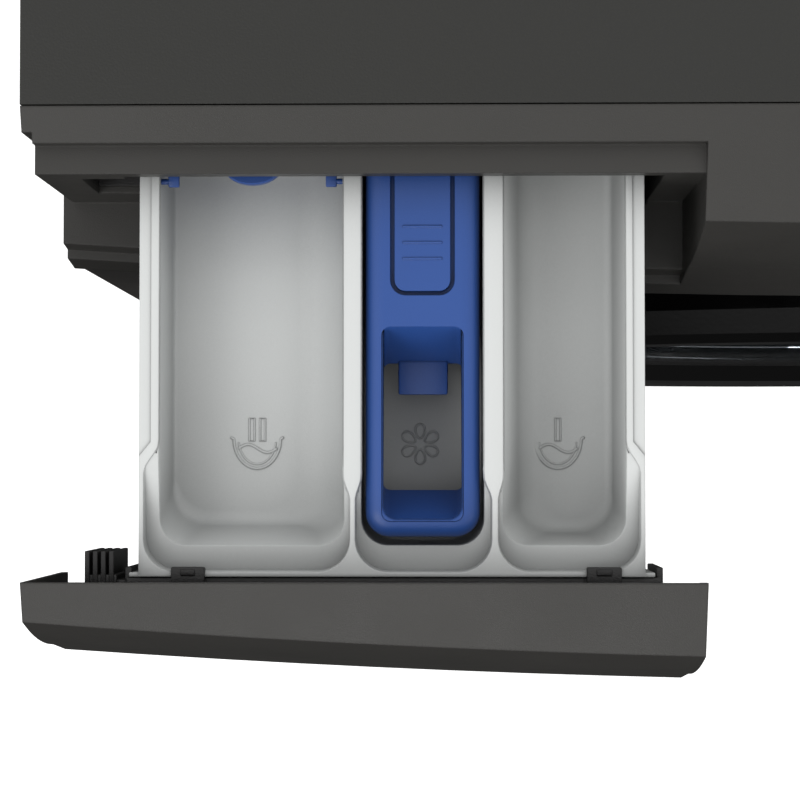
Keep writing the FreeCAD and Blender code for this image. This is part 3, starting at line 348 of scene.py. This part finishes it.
def cord_mesh(bm, points, radius, closed=False, sides=8):
    """A thin round ridge along points (x, y, z)."""
    points = [Vector(point) for point in points]
    count = len(points)
    rings = []
    for here in range(count):
        before = points[here - 1] if closed or here else points[here]
        after = points[(here + 1) % count] if closed or here < count - 1 else points[here]
        ahead = (after - before).normalized()
        across = ahead.cross(Vector((0, 0, 1))).normalized()
        upward = across.cross(ahead)
        ring = []
        for side in range(sides):
            turn = 2 * math.pi * side / sides
            ring.append(points[here] + radius * (math.cos(turn) * across + math.sin(turn) * upward))
        rings.append(add_ring(bm, ring))
    for first, second in zip(rings, rings[1:]):
        bridge(bm, first, second)
    if closed:
        bridge(bm, rings[-1], rings[0])
    else:
        bm.faces.new(rings[0])
        bm.faces.new(rings[-1][::-1])


def block(bm, low, high, bevel=0.0):
    """A box with softened edges."""
    made = bmesh.ops.create_cube(bm, size=1.0)
    centre = [(a + b) / 2 for a, b in zip(low, high)]
    for vert in made["verts"]:
        for axis in range(3):
            vert.co[axis] = centre[axis] + vert.co[axis] * (high[axis] - low[axis])
    if bevel:
        edges = list({edge for vert in made["verts"] for edge in vert.link_edges})
        bmesh.ops.bevel(bm, geom=edges, offset=bevel, segments=2, affect="EDGES", profile=0.5)


# ------------------------------------------------------------- detergent drawer

class Room:
    """One compartment of the drawer: its trough and the wider, lower pocket at its front.

    trough and pocket are each (left x, right x). Each wall is (lean at its foot, foot's
    radius). flares are the left and right (start, end), behind the tray's front, of the
    widening to the pocket."""

    def __init__(self, trough, pocket, depth, left_wall, right_wall, front_wall, flares):
        self.trough = trough
        self.pocket = pocket
        self.depth = depth
        self.walls = (left_wall, right_wall, front_wall)
        self.flares = flares


def wall_inset(share, height, draft, fillet):
    """How far a wall stands in at a share of its height: a slope, then a round foot."""
    into = max(0.0, share * height - (height - fillet))
    foot = fillet - math.sqrt(max(0.0, fillet * fillet - into * into))
    return draft * share + foot


def room_outline(left_at, right_at, front, radius, stations):
    """Plan of a compartment: back along the left side, round the front, up the right side."""
    radius = min(radius, (right_at(front) - left_at(front)) / 2 - 0.3)
    limit = front + radius
    count = len(stations)
    kept = [max(y, limit + 0.05 * (count - here)) for here, y in enumerate(stations)]
    points = [(left_at(y), y) for y in kept]
    left, right = left_at(front), right_at(front)
    points += arc((left + radius, front + radius), radius, 180, 270, 8)
    points += arc((right - radius, front + radius), radius, 270, 360, 8)
    points += [(right_at(y), y) for y in reversed(kept)]
    return points


BIN_LOW, BIN_HIGH = box_of("drawer_bin")
BIN_WALL = 1.6
SOFTENER_DEPTH = 34.0
DOSE_DEPTH = 29.0
POCKET_DEPTH = 8.0
LEDGE_START = BIN_HIGH.y - 198.6
TROUGH_START = BIN_LOW.y + 9.7
FLOOR_SHARES = (0, 0.12, 0.3, 0.45, 0.56, 0.66, 0.75, 0.83, 0.9, 0.95, 0.985, 1.0)


def ledge_depth(y):
    """Depth of a pocket's floor under the rim: it slopes down towards the front."""
    run = LEDGE_START - (BIN_LOW.y + BIN_WALL)
    return max(0.7, POCKET_DEPTH * (LEDGE_START - y) / run)


def dig_room(bm, room, rim):
    """Lofts one compartment down from the rim and returns its upper ring."""
    pocket_front = BIN_LOW.y + BIN_WALL
    rear = BIN_HIGH.y - BIN_WALL
    stations = [rear, between(rear, BIN_LOW.y + 42, 0.5)]
    stations += [BIN_LOW.y + step for step in range(42, 20, -2)]

    def side(trough_x, pocket_x, flare, offset):
        start, full = BIN_LOW.y + flare[0], BIN_LOW.y + flare[1]

        def at(y):
            share = eased((start - y) / (start - full))
            return between(trough_x, pocket_x, share) + offset
        return at

    def pocket_ring(offset, level):
        left = side(room.trough[0], room.pocket[0], room.flares[0], -offset)
        right = side(room.trough[1], room.pocket[1], room.flares[1], offset)
        plan = room_outline(left, right, pocket_front - offset, 10 + offset, stations)
        return add_ring(bm, [(x, y, level(y)) for x, y in plan])

    def trough_ring(share, lift=0.0, grow=0.0):
        height = room.depth
        insets = [wall_inset(share, height, *wall) - grow for wall in room.walls]
        plan = room_outline(
            lambda y: room.trough[0] + insets[0], lambda y: room.trough[1] - insets[1],
            TROUGH_START + insets[2], 8 + 3 * share + grow, stations)
        floor = rim - height
        points = []
        for x, y in plan:
            top = rim - ledge_depth(y) - 0.6 + lift
            points.append((x, y, between(top, floor, share)))
        return add_ring(bm, points)

    upper = pocket_ring(0.5, lambda y: rim)
    rings = [upper, pocket_ring(0.1, lambda y: rim - 0.15), pocket_ring(0.0, lambda y: rim - 0.5)]
    rings.append(pocket_ring(-0.35, lambda y: rim - ledge_depth(y) + 0.15))
    rings.append(trough_ring(0, lift=0.55, grow=0.6))
    rings.append(trough_ring(0, lift=0.4, grow=0.15))
    rings += [trough_ring(share) for share in FLOOR_SHARES]
    for first, second in zip(rings, rings[1:]):
        bridge(bm, first, second)
    fill(bm, rings[-1])
    return upper


def dose_symbol(bm, middle, top, level, half_width, bars):
    """A raised bowl with a wave in it and its compartment's strokes above."""
    line = 0.42
    deep = 9.4
    bowl = []
    for step in range(25):
        angle = math.radians(between(180, 360, step / 24))
        bowl.append((middle + half_width * math.cos(angle), top + deep * math.sin(angle), level))
    lips = [(middle - half_width - 0.9, top + 0.5, level)]
    cord_mesh(bm, lips + bowl + [(middle + half_width + 0.9, top + 0.5, level)], line)
    inner = []
    for step in range(19):
        angle = math.radians(between(188, 352, step / 18))
        inner.append((middle + (half_width - 1.5) * math.cos(angle),
                      top + (deep - 1.4) * math.sin(angle), level))
    cord_mesh(bm, inner, line * 0.7)
    wave = []
    for step in range(17):
        share = step / 16
        wave.append((between(middle - half_width + 1.5, middle + half_width - 1.2, share),
                     top - 3.0 + 1.3 * math.sin(share * 2 * math.pi), level))
    cord_mesh(bm, wave, line)
    for offset in bars:
        left, right = middle + offset - 0.8, middle + offset + 0.8
        low, high = top - 0.6, top + 6.6
        cord_mesh(bm, [(left, low, level), (right, low, level), (right, high, level),
                       (left, high, level)], line * 0.8, closed=True)


def flower_symbol(bm, middle, centre_y, level):
    """Six raised petals round a point."""
    for petal in range(6):
        turn = math.radians(60 * petal + 30)
        points = []
        for step in range(14):
            around = 2 * math.pi * step / 14
            along = 4.1 + 2.3 * math.cos(around)
            across = 1.55 * math.sin(around) * (1.0 + 0.25 * math.cos(around))
            points.append((middle + along * math.cos(turn) - across * math.sin(turn),
                           centre_y + along * math.sin(turn) + across * math.cos(turn), level))
        cord_mesh(bm, points, 0.32, closed=True)


def make_bin():
    """The drawer's light grey tray: three compartments under one rim."""
    left, right = BIN_LOW.x, BIN_HIGH.x
    rim = BIN_HIGH.z
    rooms = [
        Room((left + 6.2, left + 63.1), (left + 1.6, left + 65.1), DOSE_DEPTH,
             (1.2, 1.5), (0.8, 15.0), (6.6, 4.0), ((41.5, 32), (31, 23.6))),
        Room((left + 68.5, left + 106.3), (left + 66.7, left + 108.7), SOFTENER_DEPTH,
             (0.6, 2.0), (0.6, 2.0), (1.0, 2.0), ((31, 23.6), (31, 23.6))),
        Room((left + 112.2, left + 149.9), (left + 110.6, right - 1.5), DOSE_DEPTH,
             (7.0, 6.0), (2.6, 2.5), (4.0, 4.0), ((31, 23.6), (41.5, 32))),
    ]
    bm = bmesh.new()
    uppers = [dig_room(bm, room, rim) for room in rooms]
    step_in = 3.6
    turn_start, turn_end = BIN_LOW.y + 41.5, BIN_LOW.y + 37.1
    front, rear = BIN_LOW.y, BIN_HIGH.y

    def high_edge(inset, level):
        a, b = left + inset, right - inset
        plan = [(a + step_in, rear), (a + step_in, turn_start), (a, turn_end), (a, front + inset),
                (b, front + inset), (b, turn_end), (b - step_in, turn_start), (b - step_in, rear)]
        return add_ring(bm, [(x, y, level) for x, y in plan])

    def low_edge(inset, level):
        a, b = left + inset, right - inset
        plan = [(a, rear), (a, turn_start), (a, turn_end), (a, front + inset),
                (b, front + inset), (b, turn_end), (b, turn_start), (b, rear)]
        return add_ring(bm, [(x, y, level) for x, y in plan])

    top = high_edge(0.35, rim)
    fill(bm, top, *uppers)
    rings = [top, high_edge(0.1, rim - 0.12), high_edge(0.05, rim - 0.7),
             low_edge(0.04, rim - 0.72), low_edge(0.0, rim - 1.0), low_edge(0.0, BIN_LOW.z + 3),
             low_edge(3.0, BIN_LOW.z)]
    for first, second in zip(rings, rings[1:]):
        bridge(bm, first, second)
    fill(bm, rings[-1])
    flange = 2.9
    block(bm, (left - flange, front, BIN_LOW.z + 2), (right + flange, front + 1.4, rim - 0.6), 0.3)
    floor = rim - DOSE_DEPTH
    symbol_y = BIN_HIGH.y - 193.2
    dose_symbol(bm, left + 34.2, symbol_y, floor, 7.5, (-1.7, 1.7))
    dose_symbol(bm, left + 130.3, symbol_y, floor, 7.5, (0.0,))
    flower_symbol(bm, left + 86.3, symbol_y - 1.5, rim - SOFTENER_DEPTH)
    finished("drawer_bin_moulding", bm, "light_grey_plastic", "drawer", ("drawer_bin",))


def make_lid():
    """The blue lid of the softener compartment, with a press tab and a window."""
    low, high = box_of("softener_insert")
    left, right = low.x + 0.6, high.x - 0.6
    front, rear, top = low.y, high.y, high.z
    bm = bmesh.new()

    def outer(inset, level):
        a, b = left + inset, right - inset
        radius = 7.5 - inset * 0.6
        plan = [(a, rear)] + arc((a + radius, front + inset + radius), radius, 180, 270, 9)
        plan += arc((b - radius, front + inset + radius), radius, 270, 360, 9) + [(b, rear)]
        return add_ring(bm, [(x, y, level) for x, y in plan])

    def window(sides, near, far, radius, level):
        a, b = left + sides, right - sides
        near, far = front + near, front + far
        plan = arc((a + radius, near + radius), radius, 180, 270, 6)
        plan += arc((b - radius, near + radius), radius, 270, 360, 6)
        plan += arc((b - radius, far - radius), radius, 0, 90, 6)
        plan += arc((a + radius, far - radius), radius, 90, 180, 6)
        return add_ring(bm, [(x, y, level) for x, y in plan])

    shoulder, drop = 5.6, 4.6
    skirt = top - 20
    rings = []
    for step in range(7):
        angle = math.radians(90 * step / 6)
        rings.append(outer(shoulder * (1 - math.sin(angle)), top - drop * (1 - math.cos(angle))))
    crown = rings[0]
    rings.append(outer(0.0, skirt + 0.5))
    rings.append(outer(0.5, skirt))
    for first, second in zip(rings, rings[1:]):
        bridge(bm, first, second)

    holes = [window(5.0, 4.7, 64.7, 2.8, top), window(5.2, 4.9, 64.5, 2.7, top - 0.3),
             window(5.3, 5.4, 64.0, 2.6, top - 1.2)]
    holes += [window(between(5.3, 5.0, share), between(5.4, 14.3, share),
                     between(64.0, 54.2, share), between(2.6, 2.3, share),
                     between(top - 1.2, skirt, share)) for share in (0.3, 0.6, 0.9, 1.0)]
    for first, second in zip(holes, holes[1:]):
        bridge(bm, first, second)

    middle = (left + right) / 2
    groove_front = front + 74.3
    groove_rear = rear - 12
    half, line, corner = 9.9, 1.3, 4.7

    def groove(level, grow):
        wide, narrow = half + grow, half - line - grow
        near = groove_front - grow
        plan = [(middle - wide, groove_rear)]
        plan += arc((middle - wide + corner, near + corner), corner, 180, 270, 6)
        plan += arc((middle + wide - corner, near + corner), corner, 270, 360, 6)
        plan += [(middle + wide, groove_rear), (middle + narrow, groove_rear)]
        tight = corner - line
        near = groove_front + line + grow
        plan += arc((middle + narrow - tight, near + tight), tight, 360, 270, 6)
        plan += arc((middle - narrow + tight, near + tight), tight, 270, 180, 6)
        plan += [(middle - narrow, groove_rear)]
        return add_ring(bm, [(x, y, level) for x, y in plan])

    grooves = [groove(top, 0.12), groove(top - 0.15, 0.0), groove(top - 3.5, 0.0)]
    for first, second in zip(grooves, grooves[1:]):
        bridge(bm, first, second)
    fill(bm, grooves[-1])
    fill(bm, crown, holes[0], grooves[0])
    fill(bm, rings[-1], holes[-1])
    bm.faces.new([ring[0] for ring in rings][::-1] + [ring[-1] for ring in rings])
    rib_start, rib_pitch, rib_half = front + 95.5, 4.95, 6
    for step in range(3):
        y = rib_start - step * rib_pitch
        cord_mesh(bm, [(middle - rib_half, y, top - 0.05), (middle + rib_half, y, top - 0.05)],
                  0.42)
    tab_low = (middle - 7.8, front + 44.3, skirt + 0.2)
    block(bm, tab_low, (middle + 7.8, front + 55.0, skirt + 1.8), 0.7)
    finished("softener_lid_moulding", bm, "blue_plastic", "softener_lid",
             ("softener_insert",))


def make_flap():
    """The dosing flap: a plate hung from two pegs, with a finger tab in its middle."""
    low, high = box_of("liquid_flap")
    left, right = low.x, high.x
    axis_y, axis_z = (low.y + high.y) / 2, high.z - 2
    middle = (left + right) / 2
    bm = bmesh.new()
    block(bm, (left + 3.0, axis_y + 5.2, low.z), (right - 3.0, axis_y + 6.8, axis_z + 0.4), 0.5)
    for x, outward in ((left + 6.0, -1), (right - 6.0, 1)):
        block(bm, (x - 1.7, axis_y - 1.7, axis_z - 1.2), (x + 1.7, axis_y + 6.0, axis_z + 1.0), 0.4)
        cord_mesh(bm, [(x, axis_y, axis_z), (x + outward * 5.6, axis_y, axis_z)], 0.9, sides=16)
    tab_half, tab_y, squash = 9.2, axis_y + 5.0, 0.66
    rings = []
    for lift, shrink in ((-2.0, 0.0), (1.2, 0.0), (1.6, 0.4)):
        reach = tab_half - shrink
        plan = [(middle + reach, tab_y + 1.0)]
        plan += arc((middle, tab_y), reach, 0, -180, 16)
        plan += [(middle - reach, tab_y + 1.0)]
        flat = [(x, tab_y + (y - tab_y) * squash, axis_z + lift) for x, y in plan]
        rings.append(add_ring(bm, flat))
    bridge(bm, rings[0], rings[1])
    bridge(bm, rings[1], rings[2])
    fill(bm, rings[0])
    fill(bm, rings[2])
    finished("dosing_flap_moulding", bm, "blue_plastic", "dosing_flap", ("liquid_flap",))


def on_face(x, z):
    """The place on the fascia's or the display's front face at x and z, in millimetres."""
    start = Vector((x * MM, cad_low.y - 0.1, z * MM))
    best = None
    for node in ("fascia", "display_window"):
        hit, place, _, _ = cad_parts[node].ray_cast(start, Vector((0, 1, 0)))
        if hit and (best is None or place.y < best):
            best = place.y
    return best / MM


def patch(bm, corners):
    """A thin printed patch with corners (x, z), on the fascia's or the display's face."""
    proud, sunk = 0.06, 0.05
    front = [bm.verts.new((x, on_face(x, z) - proud, z)) for x, z in corners]
    back = [bm.verts.new((x, on_face(x, z) + sunk, z)) for x, z in corners]
    bm.faces.new(front)
    bm.faces.new(back[::-1])
    bridge(bm, front, back)


def mark(bm, x0, x1, z0, z1):
    """An upright rectangular patch."""
    patch(bm, ((x0, z0), (x1, z0), (x1, z1), (x0, z1)))


def make_dial_marks():
    """Strokes round the programme knob, and a short stroke over each key."""
    low, high = box_of("program_knob")
    middle_x, middle_z = (low.x + high.x) / 2, (low.z + high.z) / 2
    inner, half = (high.x - low.x) / 2 + 3.2, 0.45
    bm = bmesh.new()
    for step in range(16):
        turn = math.radians(22.5 * step)
        long = 3.6 if step % 4 == 0 else 2.0
        corners = []
        for radius, side in ((inner, -half), (inner, half), (inner + long, half),
                             (inner + long, -half)):
            x = middle_x + radius * math.sin(turn) + side * math.cos(turn)
            z = middle_z + radius * math.cos(turn) - side * math.sin(turn)
            corners.append((x, z))
        if min(z for _, z in corners) < box_of("fascia")[0].z + 2:
            continue
        patch(bm, corners)
    for name in ("power_button", "temperature_button", "spin_speed_button", "start_button"):
        low, high = box_of(name)
        middle = (low.x + high.x) / 2
        mark(bm, middle - 4, middle + 4, high.z + 1.8, high.z + 2.4)
    finished("dial_marks", bm, "white_plastic", "cabinet")


def make_knob_pointer():
    """A light stroke on the knob's front that shows the chosen programme."""
    low, high = box_of("program_knob")
    middle_x, middle_z = (low.x + high.x) / 2, (low.z + high.z) / 2
    bm = bmesh.new()
    half, proud, sunk = 0.9, 0.25, 0.6
    block(bm, (middle_x - half, low.y - proud, middle_z + 8),
          (middle_x + half, low.y + sunk, middle_z + 17), 0.2)
    finished("knob_pointer", bm, "white_plastic", "knob")


SEGMENTS = {0: "abcdef", 1: "bc", 3: "abgcd"}


def make_display_digits():
    """Seven-bar figures on the display window's face, showing the time left."""
    low, high = box_of("display_window")
    tall, wide, bar = 12.0, 6.6, 1.2
    base = (low.z + high.z) / 2 - tall / 2
    start = (low.x + high.x) / 2 - 14
    bm = bmesh.new()
    half = tall / 2
    bars = {
        "a": (0, wide, tall - bar, tall), "d": (0, wide, 0, bar),
        "g": (0, wide, half - bar / 2, half + bar / 2), "f": (0, bar, half, tall),
        "e": (0, bar, 0, half), "b": (wide - bar, wide, half, tall),
        "c": (wide - bar, wide, 0, half)}
    trim, pitch, colon_room = 0.15, 10, 3
    for place, figure in enumerate((1, 3, 0)):
        left = start + place * pitch + (colon_room if place else 0)
        for name in SEGMENTS[figure]:
            x0, x1, z0, z1 = bars[name]
            mark(bm, left + x0 + trim, left + x1 - trim, base + z0 + trim, base + z1 - trim)
    for level in (0.3, 0.62):
        foot = base + tall * level
        mark(bm, start + 9.0, start + 9.0 + bar, foot, foot + bar)
    finished("display_digits", bm, "display_glow", "cabinet")


def make_carrier():
    """The dark frame that clips the tray to the drawer's front, with its ribbed guide block."""
    low, high = box_of("drawer_carrier")
    bin_front = BIN_LOW.y
    back_of_front = bin_front - 3.4
    left, right = BIN_LOW.x, BIN_HIGH.x
    bm = bmesh.new()
    block(bm, (left - 3.7, back_of_front, low.z), (right + 5.0, bin_front - 0.15, high.z), 0.4)
    for near, far in ((left - 4.2, left - 2.2), (right + 3.4, right + 5.4)):
        block(bm, (near, back_of_front, low.z + 24), (far, bin_front + 3.0, high.z - 0.6), 0.3)
    link_low, link_high, rail_back = low.z + 25, low.z + 52, low.y + 2.6
    block(bm, (low.x, low.y, link_low), (high.x, rail_back, link_high), 0.3)
    for x in (left + 25.5, left + 85.5, left + 140.5):
        block(bm, (x - 3, rail_back, link_low), (x + 3, back_of_front, link_high), 0.3)
    guide_left, guide_right, guide_low = left - 16.8, left - 7.0, low.z + 24
    block(bm, (guide_left, back_of_front, guide_low),
          (guide_right, bin_front + 0.6, low.z + 55.2), 0.3)
    for rib in range(4):
        x = guide_left + rib * 2.5
        block(bm, (x, back_of_front, guide_low), (x + 1.5, bin_front + 7.9, low.z + 56), 0.3)
    block(bm, (guide_right, back_of_front, guide_low),
          (left - 3.7, back_of_front + 2.4, low.z + 54), 0.3)
    for near, far in ((left + 10.2, left + 20.6), (right - 18.1, right - 7.4)):
        block(bm, (near, back_of_front, high.z - 1.0), (far, bin_front + 3.1, high.z + 2.4), 0.5)
        block(bm, (near + 3, bin_front + 0.5, high.z + 2.0),
              (far - 3, bin_front + 2.4, high.z + 2.9), 0.3)
    finished("drawer_carrier_frame", bm, "black_plastic", "drawer", ("drawer_carrier",))


def make_drum():
    """The drum: a perforated shell with rolled hoops, a back plate and a turned-in front."""
    low, high = box_of("drum_shell")
    centre_z = (low.z + high.z) / 2
    radius = (high.x - low.x) / 2
    front, back = low.y, high.y
    bm = bmesh.new()
    around, along = 132, 22
    band = 16.0
    first, last = front + band, back - band
    step_y = (last - first) / along
    hole_share = 0.27
    seam = around // 3
    mouth = 163.0

    def at(turn, y, r=radius):
        angle = 2 * math.pi * turn / around
        return (r * math.cos(angle), y, centre_z + r * math.sin(angle))

    def wall_y(row):
        return between(first, last, row / along)

    columns = [[bm.verts.new(at(turn, wall_y(row))) for row in range(along + 1)]
               for turn in range(around)]
    for turn in range(around):
        there = (turn + 1) % around
        for row in range(along):
            corners = [columns[turn][row], columns[there][row],
                       columns[there][row + 1], columns[turn][row + 1]]
            if (turn + row) % 2 or turn % seam in (0, seam - 1):
                bm.faces.new(corners)
                continue
            middle_y = (wall_y(row) + wall_y(row + 1)) / 2
            ring = []
            for side in range(8):
                spin = math.radians(225 + 45 * side)
                ring.append(bm.verts.new(at(turn + 0.5 + hole_share * math.cos(spin),
                                            middle_y + hole_share * step_y * math.sin(spin))))
            for side in range(4):
                here, after = corners[side], corners[(side + 1) % 4]
                start = 2 * side
                bm.faces.new((here, after, ring[(start + 1) % 8], ring[start]))
                bm.faces.new((after, ring[(start + 2) % 8], ring[(start + 1) % 8]))

    def hoop(points, joined):
        rings = [joined] if joined else []
        for y, r in points:
            rings.append([bm.verts.new(at(turn, y, r)) for turn in range(around)])
        for one, two in zip(rings, rings[1:]):
            bridge(bm, one, two)
        return rings[-1]

    start = [column[0] for column in columns]
    hoop([(front + 12, radius), (front + 10, radius - 3), (front + 7, radius - 3),
          (front + 5, radius), (front + 3, radius - 1), (front + 0.5, radius - 5),
          (front, radius - 9), (front, mouth + 6), (front + 1.5, mouth + 1.5),
          (front + 5, mouth)], start)
    end = [column[-1] for column in columns]
    closing = hoop([(back - 12, radius), (back - 10, radius - 3), (back - 7, radius - 3),
                    (back - 5, radius), (back - 2, radius - 2), (back, radius - 7),
                    (back, 150), (back - 5, 143), (back - 5, 96), (back, 90), (back, 30)], end)
    centre = bm.verts.new((0, back, centre_z))
    for turn in range(around):
        bm.faces.new((closing[turn], closing[(turn + 1) % around], centre))
    piece = finished("drum_perforated", bm, "stainless_steel", "drum", ("drum_shell",), angle=40)
    skin = piece.modifiers.new("sheet", "SOLIDIFY")
    skin.thickness = 0.8 * MM
    skin.offset = -1


make_bin()
make_lid()
make_flap()
make_carrier()
make_drum()
make_dial_marks()
make_knob_pointer()
make_display_digits()


# ------------------------------------------------------------ stage and camera

def softbox(name, place, aim, size, power):
    """A large square area light at place, facing aim."""
    data = bpy.data.lights.new(name, "AREA")
    data.shape = "SQUARE"
    data.size = size
    data.energy = power
    light = bpy.data.objects.new(name, data)
    light.location = place
    light.rotation_mode = "QUATERNION"
    light.rotation_quaternion = (Vector(aim) - Vector(place)).to_track_quat("-Z", "Y")
    bpy.context.scene.collection.objects.link(light)


def make_floor():
    """A pale floor under the feet, bright enough to read as white."""
    half = 15
    mesh = bpy.data.meshes.new("floor")
    corners = [(-half, -half, 0), (half, -half, 0), (half, half, 0), (-half, half, 0)]
    mesh.from_pydata(corners, [], [(0, 1, 2, 3)])
    floor = bpy.data.objects.new("floor", mesh)
    bpy.context.scene.collection.objects.link(floor)
    floor.location.z = cad_low.z
    pale = surface(
        "pale_floor", (0.9, 0.9, 0.9, 1.0), 0.7, mottle=0.01, grain=0.1,
        grain_size=0.004, wear_and_highlight=0.0, Emission_Strength=0.42,
        Emission_Color=(1.0, 1.0, 1.0, 1.0))
    mesh.materials.append(pale)
    floor.visible_diffuse = False
    floor.visible_glossy = False


def make_world(above, below):
    """Even light from above that fades below the horizon."""
    world = bpy.data.worlds.new("studio")
    world.use_nodes = True
    nodes = world.node_tree.nodes
    links = world.node_tree.links
    sky = nodes["Background"]
    sky.inputs["Color"].default_value = (1.0, 1.0, 1.0, 1.0)
    place = nodes.new("ShaderNodeTexCoord")
    parts = nodes.new("ShaderNodeSeparateXYZ")
    fade = nodes.new("ShaderNodeMapRange")
    fade.interpolation_type = "SMOOTHSTEP"
    fade.inputs["From Min"].default_value = -0.25
    fade.inputs["From Max"].default_value = 0.5
    fade.inputs["To Min"].default_value = below
    fade.inputs["To Max"].default_value = above
    links.new(place.outputs["Generated"], parts.inputs["Vector"])
    links.new(parts.outputs["Z"], fade.inputs["Value"])
    links.new(fade.outputs["Result"], sky.inputs["Strength"])
    backdrop = nodes.new("ShaderNodeBackground")
    backdrop.inputs["Color"].default_value = (1.0, 1.0, 1.0, 1.0)
    rays = nodes.new("ShaderNodeLightPath")
    chosen = nodes.new("ShaderNodeMixShader")
    links.new(rays.outputs["Is Camera Ray"], chosen.inputs["Fac"])
    links.new(sky.outputs["Background"], chosen.inputs[1])
    links.new(backdrop.outputs["Background"], chosen.inputs[2])
    links.new(chosen.outputs["Shader"], nodes["World Output"].inputs["Surface"])
    bpy.context.scene.world = world


def make_camera():
    """Straight above the open drawer, turned a little towards the middle of the front."""
    data = bpy.data.cameras.new("camera")
    data.lens = 102
    data.clip_start = 0.05
    data.clip_end = 60
    camera = bpy.data.objects.new("camera", data)
    camera.location = (-0.1706, -0.291, 1.5237)
    behind = Vector((0.0207, -0.0331, 1)).normalized()
    right = Vector((0, 1, 0)).cross(behind).normalized()
    axes = Matrix((right, behind.cross(right), behind)).transposed()
    camera.rotation_euler = axes.to_euler()
    bpy.context.scene.collection.objects.link(camera)
    bpy.context.scene.camera = camera


bpy.context.scene.view_settings.view_transform = "Standard"
make_floor()
make_world(0.98, 0.03)
softbox("key", (-1.9, -1.5, 2.9), (0.0, -0.2, 0.8), 1.4, 24)
softbox("fill", (2.2, -1.8, 1.9), (0.0, 0.0, 0.5), 1.6, 9)
softbox("front_strip", (-0.2, -2.4, 2.3), (-0.1, -0.25, 0.84), 0.5, 12)
softbox("back", (0.3, 2.2, 2.8), (0.0, 0.0, 0.5), 1.6, 10)
make_camera()
